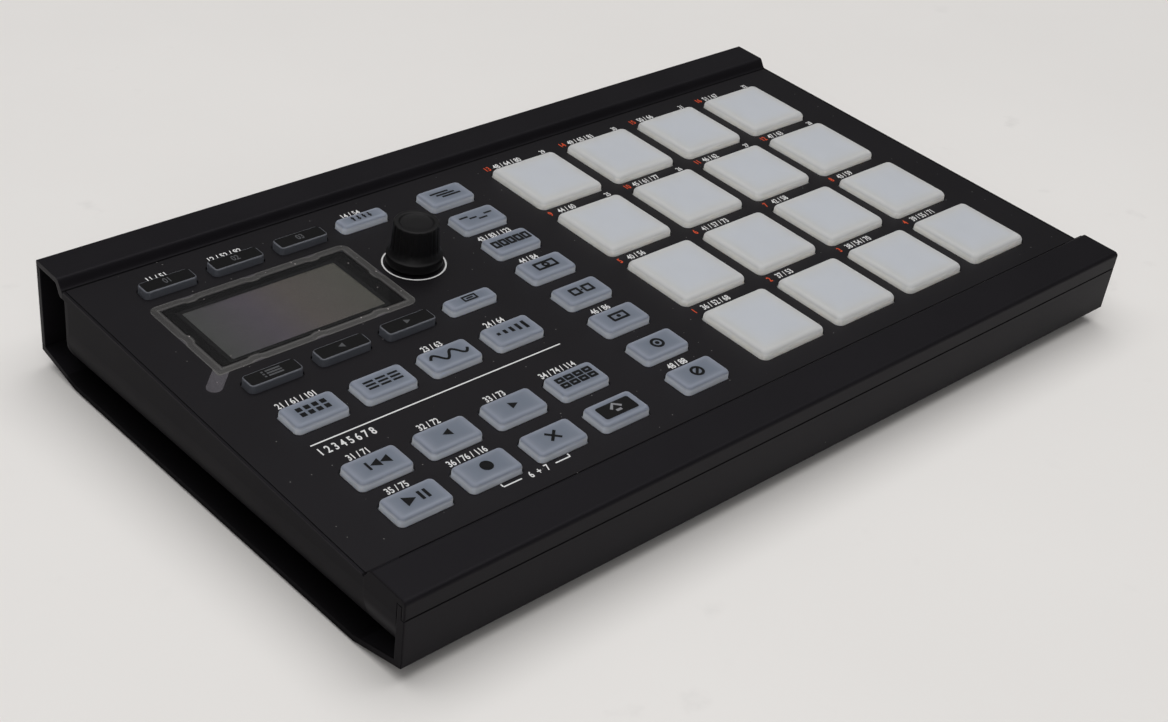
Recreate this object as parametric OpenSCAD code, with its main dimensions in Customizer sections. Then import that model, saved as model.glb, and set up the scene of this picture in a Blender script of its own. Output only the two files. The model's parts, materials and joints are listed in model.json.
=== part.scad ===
/* [Case] */
// Overall width of the case
case_w = 320; // [310:1:340]
// Tilt of the panel towards the player, in degrees
tilt = 3.4; // [2.5:0.1:4.5]
// Height of the faceplate's top above the table, at the middle of its depth
panel_h = 31.6; // [30:0.1:36]
// Depth of the case behind the faceplate
rear_bar_d = 16.5; // [15:0.5:20]
// Depth of the case in front of the faceplate
front_bar_d = 18; // [16:0.5:22]
// Height of the rear bar and the front strip above the faceplate
bar_h = 3.3; // [2.5:0.1:4]
// Run of the S-curve between the faceplate and each bar
ogee_run = 3.2; // [2.5:0.1:4.5]
// Wall of the top shell's bars and cheeks
skin_t = 2; // [1.6:0.1:2.4]
// Bottom plate of the bottom shell
base_t = 2.2; // [1.8:0.1:3]
// Front wall of the bottom shell
front_wall_t = 3; // [2.6:0.1:4]
// Rear panel
rear_panel_t = 2; // [1.8:0.1:3]
// Depth of the sloped parts of the underside, front and rear
slope_d = 21; // [16:0.5:26]
// Height of the case's lower front and rear edges above the table
edge_lift = 6; // [4.5:0.1:7.5]
// Rounding of the front strip's upper edge
front_round = 1.4; // [0.8:0.1:1.8]
// Rounding of the rear bar's upper edge
rear_round = 0.8; // [0.4:0.1:1.2]
// Distance by which the end cheeks roll in, below and behind
cheek_r = 8; // [6:0.5:8.5]
// Height over which the end cheeks roll under
roll_h = 18; // [14:0.5:19.5]

/* [Faceplate] */
// Depth of the faceplate
plate_d = 158; // [154:0.5:164]
// Thickness of the faceplate
plate_t = 1; // [0.8:0.1:1.5]
// Wall of the top shell beside the faceplate's ends
plate_rim = 0.8; // [0.6:0.1:1.5]
// Side margin from the case's end to the first key and the last pad
side_margin = 19.2; // [19:0.1:22]
// Front margin from the faceplate's edge to the first row
front_margin = 9; // [7:0.1:11]

/* [Pads] */
// Width and depth of a pad
pad_w = 29.4; // [28:0.1:30]
// Distance between pads
pad_pitch = 36.2; // [35.6:0.1:36.6]
// Height of a pad above the faceplate
pad_h = 2.8; // [2:0.1:4]
// Corner radius of a pad
pad_r = 2.2; // [1.5:0.1:4]
// Rounding of a pad's upper edge
pad_round = 2; // [1:0.1:2.4]
// Travel of a pad
pad_travel = 0.8; // [0.4:0.1:1.2]

/* [Keys] */
// Width of a key
key_w = 18.8; // [17:0.1:19.6]
// Depth of a full key
key_d = 11.2; // [10:0.1:12]
// Depth of a slim key
slim_key_d = 6.7; // [6:0.1:7.6]
// Distance between the key columns
key_pitch = 25; // [24.4:0.1:25.6]
// Height of a key above the faceplate
key_h = 2.5; // [2:0.1:3.5]
// Corner radius of a key
key_r = 1.6; // [1:0.1:2.4]
// Rounding of a key's upper edge
key_round = 1.1; // [0.5:0.1:1.3]
// Travel of a key
key_travel = 0.8; // [0.4:0.1:1.2]
// Distance from the front key row to the mode row
mode_row_rise = 48.9; // [47:0.1:50]

/* [Display] */
// Width of the display lens
lens_w = 67.5; // [64:0.5:70]
// Depth of the display lens
lens_d = 34.4; // [32:0.2:36]
// Width of the display's glass
glass_w = 59.4; // [57:0.2:61]
// Depth of the display's glass
glass_d = 31; // [29:0.2:31.4]
// Distance by which the protective film stands past the lens
film_margin = 3.4; // [2:0.1:4.5]
// Thickness of the protective film
film_t = 0.12; // [0.1:0.02:0.3]
// Length of the film's pull tab
film_tab = 9; // [6:0.5:10]

/* [Knob] */
// Height of the knob's top above the faceplate
knob_top = 15.9; // [14:0.1:18]
// Gap between the knob's skirt and the faceplate
knob_gap = 1; // [0.9:0.1:1.6]
// Diameter of the knob's skirt
skirt_dia = 19; // [18:0.1:20]
// Height of the knob's skirt
skirt_h = 3.4; // [2.5:0.1:4]
// Height of the flare between the skirt and the body
flare_h = 2.3; // [1.5:0.1:3]
// Diameter of the knob's body at its foot
knob_dia = 15.8; // [14.8:0.1:16.8]
// Diameter of the knob at its top
knob_top_dia = 14.8; // [14:0.1:15.8]
// Number of flutes round the knob's body
flutes = 20; // [16:1:24]
// Depth of a flute
flute_depth = 0.25; // [0.15:0.05:0.4]
// Diameter of the encoder's shaft
shaft_dia = 6; // [5.6:0.1:6.4]
// Push travel of the encoder
push_travel = 0.5; // [0.3:0.1:0.6]

/* [Inside] */
// Thickness of the top shell's bed under the faceplate
bed_t = 1.8; // [1.5:0.1:2.4]
// Distance from the bed to the main board
board_drop = 6.2; // [5.8:0.1:7.5]
// Thickness of the main board
board_t = 1.6; // [1.2:0.2:2]
// Height of a key switch, button included
switch_h = 3.6; // [3:0.1:3.8]
// Thickness of the pad sensor sheet
sensor_t = 0.3; // [0.2:0.1:0.5]
// Diameter of a case screw
screw_dia = 3; // [2.5:0.1:3.2]
// Length of a case screw under its head
screw_len = 12; // [11:0.5:12.5]
// Height of the rubber feet below the case
foot_h = 1; // [0.8:0.1:2]
// Length of a rubber foot
foot_len = 24; // [18:1:30]
// Width of a rubber foot
foot_w = 8.6; // [6:0.1:8.8]

/* [Fits] */
// Gap around each key and pad
key_gap = 0.35; // [0.3:0.05:0.45]
// Gap under the faceplate and above a switch at the end of a key's travel
stop_gap = 0.3; // [0.3:0.05:0.5]
// Seam between parts of the case
seam = 0.25; // [0.2:0.05:0.4]
// Radial running fit of the shaft in its bush
running_fit = 0.05; // [0.03:0.01:0.1]

/* [Hidden] */
$fn = 48;
sliver = 0.01;
pad_rows = 4;
side_keys = 8;
columns = 4;
menu_row = 4;

// Case outline in the panel's own frame: y up the slope, z square to the panel
plate_w = case_w - 2 * plate_rim - 2 * seam;
plate_edge = plate_d / 2 + seam;
rear_y = plate_d / 2 + rear_bar_d;
front_y = -plate_d / 2 - front_bar_d;
bed_top = -plate_t;
bed_low = bed_top - bed_t;
lip_t = skin_t / 2;
front_lip = 3;
rear_lip = 2.1;
rear_flange = 2.2;
lap = 1.6;
tongue_top = bar_h - skin_t - seam;

// Heights above the table as heights in the panel's frame
function panel_z(z, y) = (z - panel_h - y * sin(tilt)) / cos(tilt);
function base_line(z, y) = [y, panel_z(z, y)];
front_reach = (front_y + front_round) * cos(tilt) - (bar_h - front_round) * sin(tilt) - front_round;
rear_reach = rear_y * cos(tilt) - panel_z(edge_lift, rear_y) * sin(tilt);
shift_y = -(front_reach + rear_reach) / 2;

// Layout of the controls
keys_front = -plate_d / 2 + front_margin;
pads_right = case_w / 2 - side_margin;
pads_span = (pad_rows - 1) * pad_pitch + pad_w;
pads_left = pads_right - pads_span;
keys_left = -case_w / 2 + side_margin;
function pad_x(i) = pads_left + pad_w / 2 + (i % pad_rows) * pad_pitch;
function pad_y(i) = keys_front + pad_w / 2 + floor(i / pad_rows) * pad_pitch;
function column_x(c) = keys_left + key_w / 2 + c * key_pitch;
side_x = (column_x(columns - 1) + key_w / 2 + pads_left) / 2;
row_pitch = pad_pitch / 2;
function row_y(r) = keys_front + key_d / 2 + r * row_pitch;
slim_front_y = keys_front + menu_row * row_pitch + slim_key_d / 2;
slim_rear_y = keys_front + pads_span - slim_key_d / 2;
middle_y = (slim_front_y + slim_rear_y) / 2;
display_x = column_x(1);
display_shift = 1;
display_y = middle_y + display_shift;
lens_r = 1;
knob_x = column_x(columns - 1);
knob_y = middle_y;

// Every key as its name, x, y and depth
KEYS = concat(
    [for (c = [0:columns - 1]) [str("soft_key_", c + 1), column_x(c), slim_rear_y, slim_key_d]],
    [for (c = [0:columns - 1]) [str("menu_key_", c + 1), column_x(c), slim_front_y, slim_key_d]],
    [for (c = [0:columns - 1]) [str("mode_key_", c + 1), column_x(c), row_y(0) + mode_row_rise, key_d]],
    [for (i = [0:2 * columns - 1])
        [str("transport_key_", i + 1), column_x(i % columns), row_y(1 - floor(i / columns)), key_d]],
    [for (r = [0:side_keys - 1]) [str("side_key_", r + 1), side_x, row_y(side_keys - 1 - r), key_d]]
);
PADS = [for (i = [0:pad_rows * pad_rows - 1]) [str("pad_", i + 1), pad_x(i), pad_y(i)]];

// Levels of the key, pad and encoder stack
key_flange = 1;
pad_flange = 1.2;
key_foot_w = 4;
pad_foot_inset = 3;
flange_t = 1;
flange_top = bed_top - stop_gap;
flange_low = flange_top - flange_t;
board_top = bed_low - board_drop;
board_low = board_top - board_t;
switch_top = board_top + switch_h;
key_stem_low = switch_top + stop_gap + key_travel;
pad_foot_low = board_top + sensor_t + stop_gap + pad_travel;
encoder_w = 12;
encoder_top = bed_low - stop_gap;
bush_wall = 0.7;
bush_dia = shaft_dia + 2 * bush_wall;
bush_top = 3.4;
bush_room = 1;
flat_rise = 2;
flat_low = bush_top + flat_rise;
grip_fit = 0.01;
floor_t = 0.3;
plunger_floor = board_top + floor_t;
plunger_t = 1.3;
plunger_low = plunger_floor + stop_gap + push_travel;
shaft_low = plunger_low + plunger_t + stop_gap;
knob_roof = 3;
skirt_top = knob_gap + skirt_h;
grip_low = skirt_top + flare_h;
grip_taper = atan((knob_dia - knob_top_dia) / 2 / (knob_top - grip_low));
flute_r = 0.9;
shaft_top = knob_top - knob_roof;

// Case screws and bosses
boss_dia = 7;
post_dia = 6;
end_screw_x = case_w / 2 - cheek_r - skin_t - boss_dia / 2 - 2 * seam;
screw_x = [-end_screw_x, (column_x(columns - 1) + side_x) / 2, end_screw_x];
screw_inset = 17;
screw_y = [-plate_d / 2 + screw_inset, plate_d / 2 - screw_inset];
seat_drop = 4.6;
screw_seat = board_low - seat_drop;
head_rim = 1.2;
head_dia = screw_dia + 2 * head_rim;
head_t = 2.1;

// Main board and rear sockets
board_half_w = case_w / 2 - cheek_r - skin_t - 4 * seam;
board_setback = 6;
board_front = front_y + front_wall_t + board_setback;
board_reach = 1.5;
board_rear = plate_edge + board_reach;
usb_inset = 50;
usb_x = -case_w / 2 + usb_inset;
usb_w = 12;
usb_d = 16.5;
usb_h = 10.8;
usb_mouth_w = 8.5;
usb_mouth_h = 7.8;
usb_recess = 0.3;
lock_offset = 40;
lock_x = usb_x + lock_offset;
lock_w = 7;
lock_h = 3;
lock_r = 1;

// Feet and end cheeks
foot_inset = 1.5;
foot_setback = 1;
foot_pocket = 0.6;
foot_r = 3;
cheek_front = front_y + front_wall_t + seam;
cheek_setback = 3;
cheek_rear = plate_edge - cheek_setback;
cheek_gap = 1.5;
cheek_low = foot_h + base_t + cheek_gap;
roll_z = cheek_low + roll_h;
roll_r = (cheek_r * cheek_r + roll_h * roll_h) / (2 * cheek_r);
end_rib_t = 1.7;
end_rib_h = 3;

// The panel's frame, tilted towards the player and lifted off the table
module panel() {
    translate([0, shift_y, panel_h]) rotate([tilt, 0, 0]) children();
}

// The table's frame, with the same middle as the panel's
module table() {
    translate([0, shift_y, 0]) children();
}

// An upright prism of a flat outline between two heights
module rise(low, high) {
    translate([0, 0, low]) linear_extrude(high - low) children();
}

// A profile of depth and height, carried along the width
module along_width(w) {
    rotate([90, 0, 90]) linear_extrude(w, center = true) children();
}

// A profile of width and height, carried along the depth
module along_depth(d) {
    rotate([90, 0, 0]) linear_extrude(d, center = true) children();
}

// A rectangle with round corners
module rounded(w, d, r) {
    square([w - 2 * r, d], center = true);
    square([w, d - 2 * r], center = true);
    for (x = [-1, 1], y = [-1, 1]) translate([x * (w / 2 - r), y * (d / 2 - r)]) circle(r);
}

// A rectangle whose two upper corners are round, standing on its low edge
module arched(w, low, high, r) {
    translate([-w / 2, low]) square([w, high - r - low]);
    translate([-w / 2 + r, low]) square([w - 2 * r, high - low]);
    for (x = [-1, 1]) translate([x * (w / 2 - r), high - r]) circle(r);
}

// Points of an arc
function arc(x, y, r, from, to, steps = 8) =
    [for (i = [0:steps]) let (a = from + (to - from) * i / steps) [x + r * cos(a), y + r * sin(a)]];

// Points of an S-curve that leaves and arrives level
function ogee(from, to, steps = 12) =
    [for (i = [0:steps]) let (t = i / steps)
        [from[0] + (to[0] - from[0]) * t, from[1] + (to[1] - from[1]) * (1 - cos(180 * t)) / 2]];

// Outline of the top shell's section, from the rear lip over both bars and back underneath
under_run = skin_t * 0.6;
function shell_section() = concat(
    [[rear_y, -rear_lip]],
    arc(rear_y - rear_round, bar_h - rear_round, rear_round, 0, 90),
    ogee([plate_edge + ogee_run, bar_h], [plate_edge, 0]),
    [[plate_edge, bed_top], [-plate_edge, bed_top]],
    ogee([-plate_edge, 0], [-plate_edge - ogee_run, bar_h]),
    arc(front_y + front_round, bar_h - front_round, front_round, 90, 180),
    [[front_y, -front_lip], [front_y + lip_t, -front_lip], [front_y + lip_t, bar_h - skin_t]],
    ogee([-plate_edge - ogee_run - under_run, bar_h - skin_t], [-plate_edge - under_run, bed_low]),
    ogee([plate_edge + under_run, bed_low], [plate_edge + ogee_run + under_run, bar_h - skin_t]),
    [[rear_y - lip_t, bar_h - skin_t], [rear_y - lip_t, -rear_lip]]
);

// Rest of a key or pad opening, by how far it is wider than the piece itself
module key_outlines(more) {
    for (k = KEYS) translate([k[1], k[2]]) rounded(key_w + 2 * more, k[3] + 2 * more, key_r + more);
}
module pad_outlines(more) {
    for (p = PADS) translate([p[1], p[2]]) rounded(pad_w + 2 * more, pad_w + 2 * more, pad_r + more);
}

// Body of one end cheek: rolled under in one wide arc along the table and rolled in at the rear
module cheek_body(inset) {
    half = case_w / 2 - inset;
    r = cheek_r - inset;
    inner = case_w / 2 - cheek_r - skin_t - (inset > 0 ? cheek_r : 0);
    intersection() {
        table() along_depth(2 * plate_d) union() {
            translate([inner, roll_z]) square([half - inner, panel_h]);
            intersection() {
                translate([inner, cheek_low + inset]) square([half - inner, panel_h]);
                translate([case_w / 2 - roll_r, roll_z]) circle(roll_r - inset, $fn = 96);
            }
        }
        panel() rise(-2 * panel_h, inset > 0 ? bed_low : bed_top - sliver) union() {
            translate([inner, cheek_front - inset]) square([half - inner, cheek_rear - cheek_front + inset]);
            translate([inner, cheek_front]) square([half - r - inner, cheek_rear + r - cheek_front]);
            translate([half - r, cheek_rear]) circle(r);
        }
        translate([inner, -case_w, 0]) cube(2 * case_w);
    }
}

// One end of the top shell: the hollow cheek, its lump under the front strip and the wall behind it
module cheek() {
    wall_x = case_w / 2 - cheek_r - skin_t;
    wall_y = cheek_rear + cheek_r - skin_t;
    intersection() {
        union() {
            difference() {
                cheek_body(0);
                cheek_body(skin_t);
            }
            panel() translate([wall_x, cheek_front, bed_low])
                cube([cheek_r + skin_t, -plate_edge - ogee_run / 2 - cheek_front,
                      bar_h - skin_t / 2 - bed_low]);
            panel() translate([wall_x, wall_y, -2 * panel_h])
                cube([skin_t, rear_y - rear_panel_t - seam - wall_y, 2 * panel_h + bar_h - skin_t / 2]);
        }
        panel() along_width(2 * case_w) polygon([
            [rear_y, bar_h], [front_y, bar_h],
            base_line(edge_lift + base_t + seam, front_y),
            base_line(foot_h + base_t + seam, front_y + slope_d),
            base_line(foot_h + base_t + seam, rear_y - slope_d),
            base_line(edge_lift + base_t + seam, rear_y)
        ]);
    }
}

module faceplate() {
    color([0.1, 0.1, 0.11]) panel() rise(-plate_t, 0) difference() {
        square([plate_w, plate_d], center = true);
        key_outlines(key_gap);
        pad_outlines(key_gap);
        translate([display_x, display_y]) rounded(lens_w + 2 * seam, lens_d + 2 * seam, lens_r + seam);
        translate([knob_x, knob_y]) circle(bush_dia / 2 + seam);
    }
}

module top_shell() {
    color([0.12, 0.12, 0.13]) {
        panel() difference() {
            union() {
                along_width(case_w) polygon(shell_section());
                for (side = [-1, 1]) translate([side * (case_w - plate_rim) / 2, 0, -plate_t / 2])
                    cube([plate_rim, 2 * plate_edge, plate_t], center = true);
                for (x = screw_x, y = screw_y) translate([x, y, board_top])
                    cylinder(d = post_dia, h = bed_top - board_top - sliver);
            }
            rise(bed_low - sliver, bed_top + sliver) {
                key_outlines(key_gap + key_flange);
                pad_outlines(key_gap + pad_flange);
                translate([display_x, display_y])
                    square([glass_w + 2 * seam, glass_d + 2 * seam], center = true);
                translate([knob_x, knob_y]) circle(bush_dia / 2 + seam);
            }
            for (x = screw_x, y = screw_y) translate([x, y, board_top - sliver])
                cylinder(d = screw_dia + 2 * running_fit, h = board_drop + bed_t / 2);
        }
        cheek();
        mirror([1, 0, 0]) cheek();
    }
}

// Outline of the bottom shell's section: front wall, boat-shaped underside and rear flange
slope_fall = (edge_lift - foot_h) / slope_d;
flange_z = panel_z(edge_lift, rear_y) + rear_flange;
function base_section() = [
    [front_y, -front_lip - seam],
    base_line(edge_lift, front_y),
    base_line(foot_h, front_y + slope_d),
    base_line(foot_h, rear_y - slope_d),
    base_line(edge_lift, rear_y),
    [rear_y, flange_z],
    [rear_y - rear_panel_t, flange_z],
    base_line(edge_lift + base_t - slope_fall * rear_panel_t, rear_y - rear_panel_t),
    base_line(foot_h + base_t, rear_y - slope_d),
    base_line(foot_h + base_t, front_y + slope_d),
    base_line(edge_lift + base_t - slope_fall * front_wall_t, front_y + front_wall_t),
    [front_y + front_wall_t, tongue_top],
    [front_y + lip_t + seam, tongue_top],
    [front_y + lip_t + seam, -front_lip - seam]
];

module foot_outlines() {
    foot_x = case_w / 2 - foot_inset - foot_w / 2;
    front_foot = base_line(foot_h, front_y + slope_d);
    rear_foot = base_line(foot_h, rear_y - slope_d);
    foot_y = [front_foot[0] * cos(tilt) - front_foot[1] * sin(tilt) + foot_setback + foot_len / 2,
              rear_foot[0] * cos(tilt) - rear_foot[1] * sin(tilt) - foot_setback - foot_len / 2];
    for (side = [-1, 1], y = foot_y) translate([side * foot_x, y]) rounded(foot_w, foot_len, foot_r);
}

module bottom_shell() {
    rib_x = case_w / 2 - cheek_r - skin_t - seam;
    color([0.11, 0.11, 0.12]) difference() {
        union() {
            panel() along_width(case_w) polygon(base_section());
            // Ribs behind the cheeks' lower edges
            intersection() {
                for (side = [-1, 1]) panel()
                    translate([side * (rib_x - end_rib_t / 2), (cheek_front + cheek_rear) / 2, -panel_h])
                        cube([end_rib_t, cheek_rear - cheek_front + 2 * seam, 2 * panel_h], center = true);
                table() translate([-case_w / 2, -plate_d, foot_h + base_t / 2])
                    cube([case_w, 2 * plate_d, base_t / 2 + cheek_gap + end_rib_h]);
                panel() along_width(case_w) polygon(concat([[rear_y, 0], [front_y, 0]],
                    [for (i = [1:4]) base_section()[i]]));
            }
            panel() for (x = screw_x, y = screw_y) translate([x, y, panel_z(foot_h + base_t / 2, y)])
                cylinder(d = boss_dia, h = board_low - panel_z(foot_h + base_t / 2, y));
        }
        panel() for (x = screw_x, y = screw_y) translate([x, y, 0]) {
            translate([0, 0, -2 * panel_h]) cylinder(d = head_dia + 2 * seam, h = 2 * panel_h + screw_seat);
            translate([0, 0, screw_seat - sliver]) cylinder(d = screw_dia + 2 * seam, h = 2 * board_drop);
        }
        table() rise(0, foot_h + foot_pocket) foot_outlines();
    }
}

module rear_panel() {
    mid_z = board_low - usb_h / 2;
    tongue_t = rear_panel_t - lip_t - seam;
    color([0.12, 0.12, 0.13]) panel() difference() {
        union() {
            translate([-case_w / 2, rear_y - rear_panel_t, flange_z + seam])
                cube([case_w, rear_panel_t, -rear_lip - 2 * seam - flange_z]);
            translate([-case_w / 2, rear_y - rear_panel_t, -rear_lip - lap])
                cube([case_w, tongue_t, lap + rear_lip + tongue_top]);
        }
        translate([usb_x, rear_y, mid_z])
            cube([usb_w + 2 * seam, 4 * rear_panel_t, usb_h + 2 * seam], center = true);
        translate([lock_x, rear_y, mid_z]) along_depth(4 * rear_panel_t) rounded(lock_w, lock_h, lock_r);
    }
}

module display_lens() {
    color([0.2, 0.2, 0.22, 0.5]) panel() translate([display_x, display_y])
        rise(-plate_t, 0) rounded(lens_w, lens_d, lens_r);
}

module display_film() {
    film_w = lens_w + 2 * film_margin;
    film_d = lens_d + 2 * film_margin;
    film_r = 3;
    tab_w = 5;
    tab_inset = 2;
    color([0.7, 0.7, 0.72, 0.4]) panel() translate([display_x, display_y]) rise(0, film_t) union() {
        rounded(film_w, film_d, film_r);
        translate([-film_w / 2 + tab_inset, -film_d / 2 + tab_inset]) rotate(225) {
            translate([0, -tab_w / 2]) square([film_tab, tab_w]);
            translate([film_tab, 0]) circle(d = tab_w);
        }
    }
}

module lcd_module() {
    bezel = 3;
    glass_seat = 1;
    screw_notch = 1.5;
    color([0.3, 0.3, 0.29]) panel() translate([display_x, display_y]) {
        rise(encoder_top - glass_seat, bed_top - seam) square([glass_w, glass_d], center = true);
        rise(board_top, encoder_top) difference() {
            square([glass_w + 2 * bezel, glass_d + 2 * bezel], center = true);
            for (x = [-1, 1], y = [-1, 1]) translate([x * (glass_w / 2 + bezel), y * (glass_d / 2 + bezel)])
                circle(screw_notch);
        }
    }
}

module main_board() {
    button_h = 0.5;
    button_dia = 3.5;
    switch_w = 6;
    usb_shelf = 7;
    root = 2;
    color([0.05, 0.3, 0.16]) panel() difference() {
        union() {
            rise(board_low, board_top) {
                translate([-board_half_w, board_front])
                    square([2 * board_half_w, board_rear - board_front]);
                translate([usb_x - usb_w, board_rear - root]) square([2 * usb_w, root + usb_shelf]);
            }
            for (k = KEYS) translate([k[1], k[2], board_top]) {
                translate([0, 0, (switch_h - button_h) / 2 - sliver])
                    cube([switch_w, switch_w, switch_h - button_h + 2 * sliver], center = true);
                cylinder(d = button_dia, h = switch_h);
            }
        }
        for (x = screw_x, y = screw_y) translate([x, y, board_low - sliver])
            cylinder(d = screw_dia + 2 * seam, h = board_t + 2 * sliver);
    }
}

module pad_sensor_sheet() {
    margin = 2;
    tail = [10, 12];
    span = pads_span - 2 * margin;
    color([0.75, 0.6, 0.25]) panel() rise(board_top, board_top + sensor_t) union() {
        translate([pads_left + pads_span / 2, keys_front + pads_span / 2]) square(span, center = true);
        translate([pads_left, pad_y(0)]) square(tail, center = true);
    }
}

module encoder_body() {
    color([0.55, 0.56, 0.58]) panel() translate([knob_x, knob_y, 0]) difference() {
        union() {
            translate([-encoder_w / 2, -encoder_w / 2, board_top])
                cube([encoder_w, encoder_w, encoder_top - board_top]);
            translate([0, 0, board_top]) cylinder(d = bush_dia, h = bush_top - board_top);
        }
        translate([0, 0, plunger_floor]) cylinder(d = shaft_dia + 2 * running_fit, h = bush_top - board_top);
    }
}

module encoder_plunger() {
    color([0.85, 0.85, 0.82]) panel() translate([knob_x, knob_y, plunger_low])
        cylinder(d = shaft_dia, h = plunger_t);
}

// The shaft has a flat on its upper half, which the knob's bore follows
module d_shaft(low, high, more) {
    flat = shaft_dia / 4;
    difference() {
        translate([0, 0, low]) cylinder(d = shaft_dia + 2 * more, h = high - low);
        translate([flat + more, -shaft_dia, flat_low]) cube([shaft_dia, 2 * shaft_dia, 2 * knob_top]);
    }
}

module encoder_shaft() {
    color([0.7, 0.7, 0.72]) panel() translate([knob_x, knob_y, 0]) d_shaft(shaft_low, shaft_top, 0);
}

// Half section of the knob: tall skirt, conical flare, tapered body, round shoulder and dished top
function knob_section() = let (edge = 0.5, skirt_edge = 0.4, rim_w = 1.6, dish_run = 0.8, dish = 0.5,
    skirt_r = skirt_dia / 2, top_r = knob_top_dia / 2) concat(
    [[0, knob_gap]],
    arc(skirt_r - skirt_edge, knob_gap + skirt_edge, skirt_edge, 270, 360, 4),
    arc(skirt_r - skirt_edge, skirt_top - skirt_edge, skirt_edge, 0, 60, 4),
    [[knob_dia / 2, grip_low]],
    arc(top_r - edge, knob_top - edge, edge, 0, 90),
    [[top_r - rim_w, knob_top], [top_r - rim_w - dish_run, knob_top - dish], [0, knob_top - dish]]
);

// The turned section, fluted along its taper, with room for the bush and a bore that follows the shaft
module encoder_knob() {
    color([0.08, 0.08, 0.08]) panel() translate([knob_x, knob_y, 0]) difference() {
        rotate_extrude() polygon(knob_section());
        for (i = [0:flutes - 1]) rotate((i + 0.5) * 360 / flutes)
            translate([knob_dia / 2 + flute_r - flute_depth, 0, grip_low]) rotate([0, -grip_taper, 0])
                cylinder(r = flute_r, h = knob_top);
        translate([0, 0, knob_gap - sliver]) cylinder(d = bush_dia + 2 * bush_room, h = flat_low - knob_gap);
        d_shaft(bush_top + bush_room, shaft_top + seam, grip_fit);
    }
}

module usb_socket() {
    wall_z = board_low - usb_h;
    mouth_depth = 9;
    mouth_cut = 2.4;
    tongue_w = 5.6;
    tongue_t = 3.2;
    tongue_back = 1.5;
    root = 1;
    color([0.75, 0.75, 0.77]) panel() translate([usb_x, rear_y - usb_recess, wall_z]) {
        difference() {
            translate([-usb_w / 2, -usb_d, 0]) cube([usb_w, usb_d, usb_h]);
            translate([0, 0, usb_h / 2]) along_depth(2 * mouth_depth) difference() {
                square([usb_mouth_w, usb_mouth_h], center = true);
                for (x = [-1, 1]) translate([x * usb_mouth_w / 2, usb_mouth_h / 2]) rotate(45)
                    square(mouth_cut, center = true);
            }
        }
        translate([-tongue_w / 2, -mouth_depth - root, (usb_h - tongue_t) / 2])
            cube([tongue_w, mouth_depth + root - tongue_back, tongue_t]);
    }
}

module rubber_feet() {
    color([0.05, 0.05, 0.05]) table() rise(0, foot_h + foot_pocket) foot_outlines();
}

module case_screws() {
    slot_w = 0.7;
    color([0.5, 0.5, 0.52]) panel() for (x = screw_x, y = screw_y) translate([x, y, screw_seat]) {
        cylinder(d = screw_dia, h = screw_len);
        difference() {
            translate([0, 0, -head_t]) cylinder(d = head_dia, h = head_t);
            for (a = [0, 90]) rotate(a) translate([0, 0, -head_t])
                cube([head_dia * 0.6, slot_w, head_t], center = true);
        }
    }
}

// A cap with round upper edges, a flange that stops it under the faceplate and a foot that presses the sensor
module button(w, d, r, top, round_r, flange, foot, foot_low) {
    intersection() {
        rise(flange_low, top) rounded(w, d, r);
        along_depth(2 * d) arched(w, flange_low, top, round_r);
        along_width(2 * w) arched(d, flange_low, top, round_r);
    }
    rise(flange_low, flange_top) rounded(w + 2 * flange, d + 2 * flange, r + flange);
    rise(foot_low, flange_low + flange_t / 2) square(foot, center = true);
}

module key(k) {
    color(k[3] == slim_key_d ? [0.3, 0.31, 0.34] : [0.52, 0.55, 0.62]) panel() translate([k[1], k[2], 0])
        button(key_w, k[3], key_r, key_h, key_round, key_flange, key_foot_w, key_stem_low);
}

module pad(p) {
    color([0.75, 0.77, 0.8]) panel() translate([p[1], p[2], 0])
        button(pad_w, pad_w, pad_r, pad_h, pad_round, pad_flange, pad_w - 2 * pad_foot_inset, pad_foot_low);
}

faceplate();
top_shell();
bottom_shell();
rear_panel();
display_lens();
display_film();
lcd_module();
main_board();
pad_sensor_sheet();
encoder_body();
encoder_plunger();
encoder_shaft();
encoder_knob();
usb_socket();
rubber_feet();
case_screws();
for (k = KEYS) key(k);
for (p = PADS) pad(p);
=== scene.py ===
"""Dresses a desktop pad controller: sixteen drum pads, twenty-eight keys, a push knob and a small display.

Sizes on the panel are millimetres in the faceplate's own frame: u to the right, v to the rear and w square
out of the plate, with zero at the middle of its top face. Everything that Blender receives is in metres.
"""
import functools
import json
import logging
import math
from dataclasses import dataclass, field
from enum import Enum
from typing import Any, Iterable, Mapping, Sequence

import bmesh
import bpy
import numpy as np
from mathutils import Matrix, Vector


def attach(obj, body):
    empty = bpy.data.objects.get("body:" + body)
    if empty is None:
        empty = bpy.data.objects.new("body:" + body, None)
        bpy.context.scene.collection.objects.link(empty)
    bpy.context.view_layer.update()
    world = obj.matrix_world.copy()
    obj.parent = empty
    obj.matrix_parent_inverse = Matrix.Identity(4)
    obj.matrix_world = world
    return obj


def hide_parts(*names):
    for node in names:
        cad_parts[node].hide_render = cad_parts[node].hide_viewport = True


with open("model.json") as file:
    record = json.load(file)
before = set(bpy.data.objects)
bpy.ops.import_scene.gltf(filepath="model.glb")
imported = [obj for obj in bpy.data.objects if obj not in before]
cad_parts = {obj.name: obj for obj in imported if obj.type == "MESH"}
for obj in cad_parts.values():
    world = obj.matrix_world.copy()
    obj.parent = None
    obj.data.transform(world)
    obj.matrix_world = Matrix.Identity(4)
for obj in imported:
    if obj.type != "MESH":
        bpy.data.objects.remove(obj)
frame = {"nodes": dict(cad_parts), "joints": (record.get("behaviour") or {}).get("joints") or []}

log = logging.getLogger("pad_controller")

Colour = tuple[float, float, float]
Point = tuple[float, float, float]

MM = 0.001
PAD_COUNT = 16
# Height over the plate from which a key or pad counts as its visible cap
CAP_START = 0.2
# Edges between a cap's faces that turn by fewer degrees are shaded smooth
CAP_SHARP = 50.0
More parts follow.
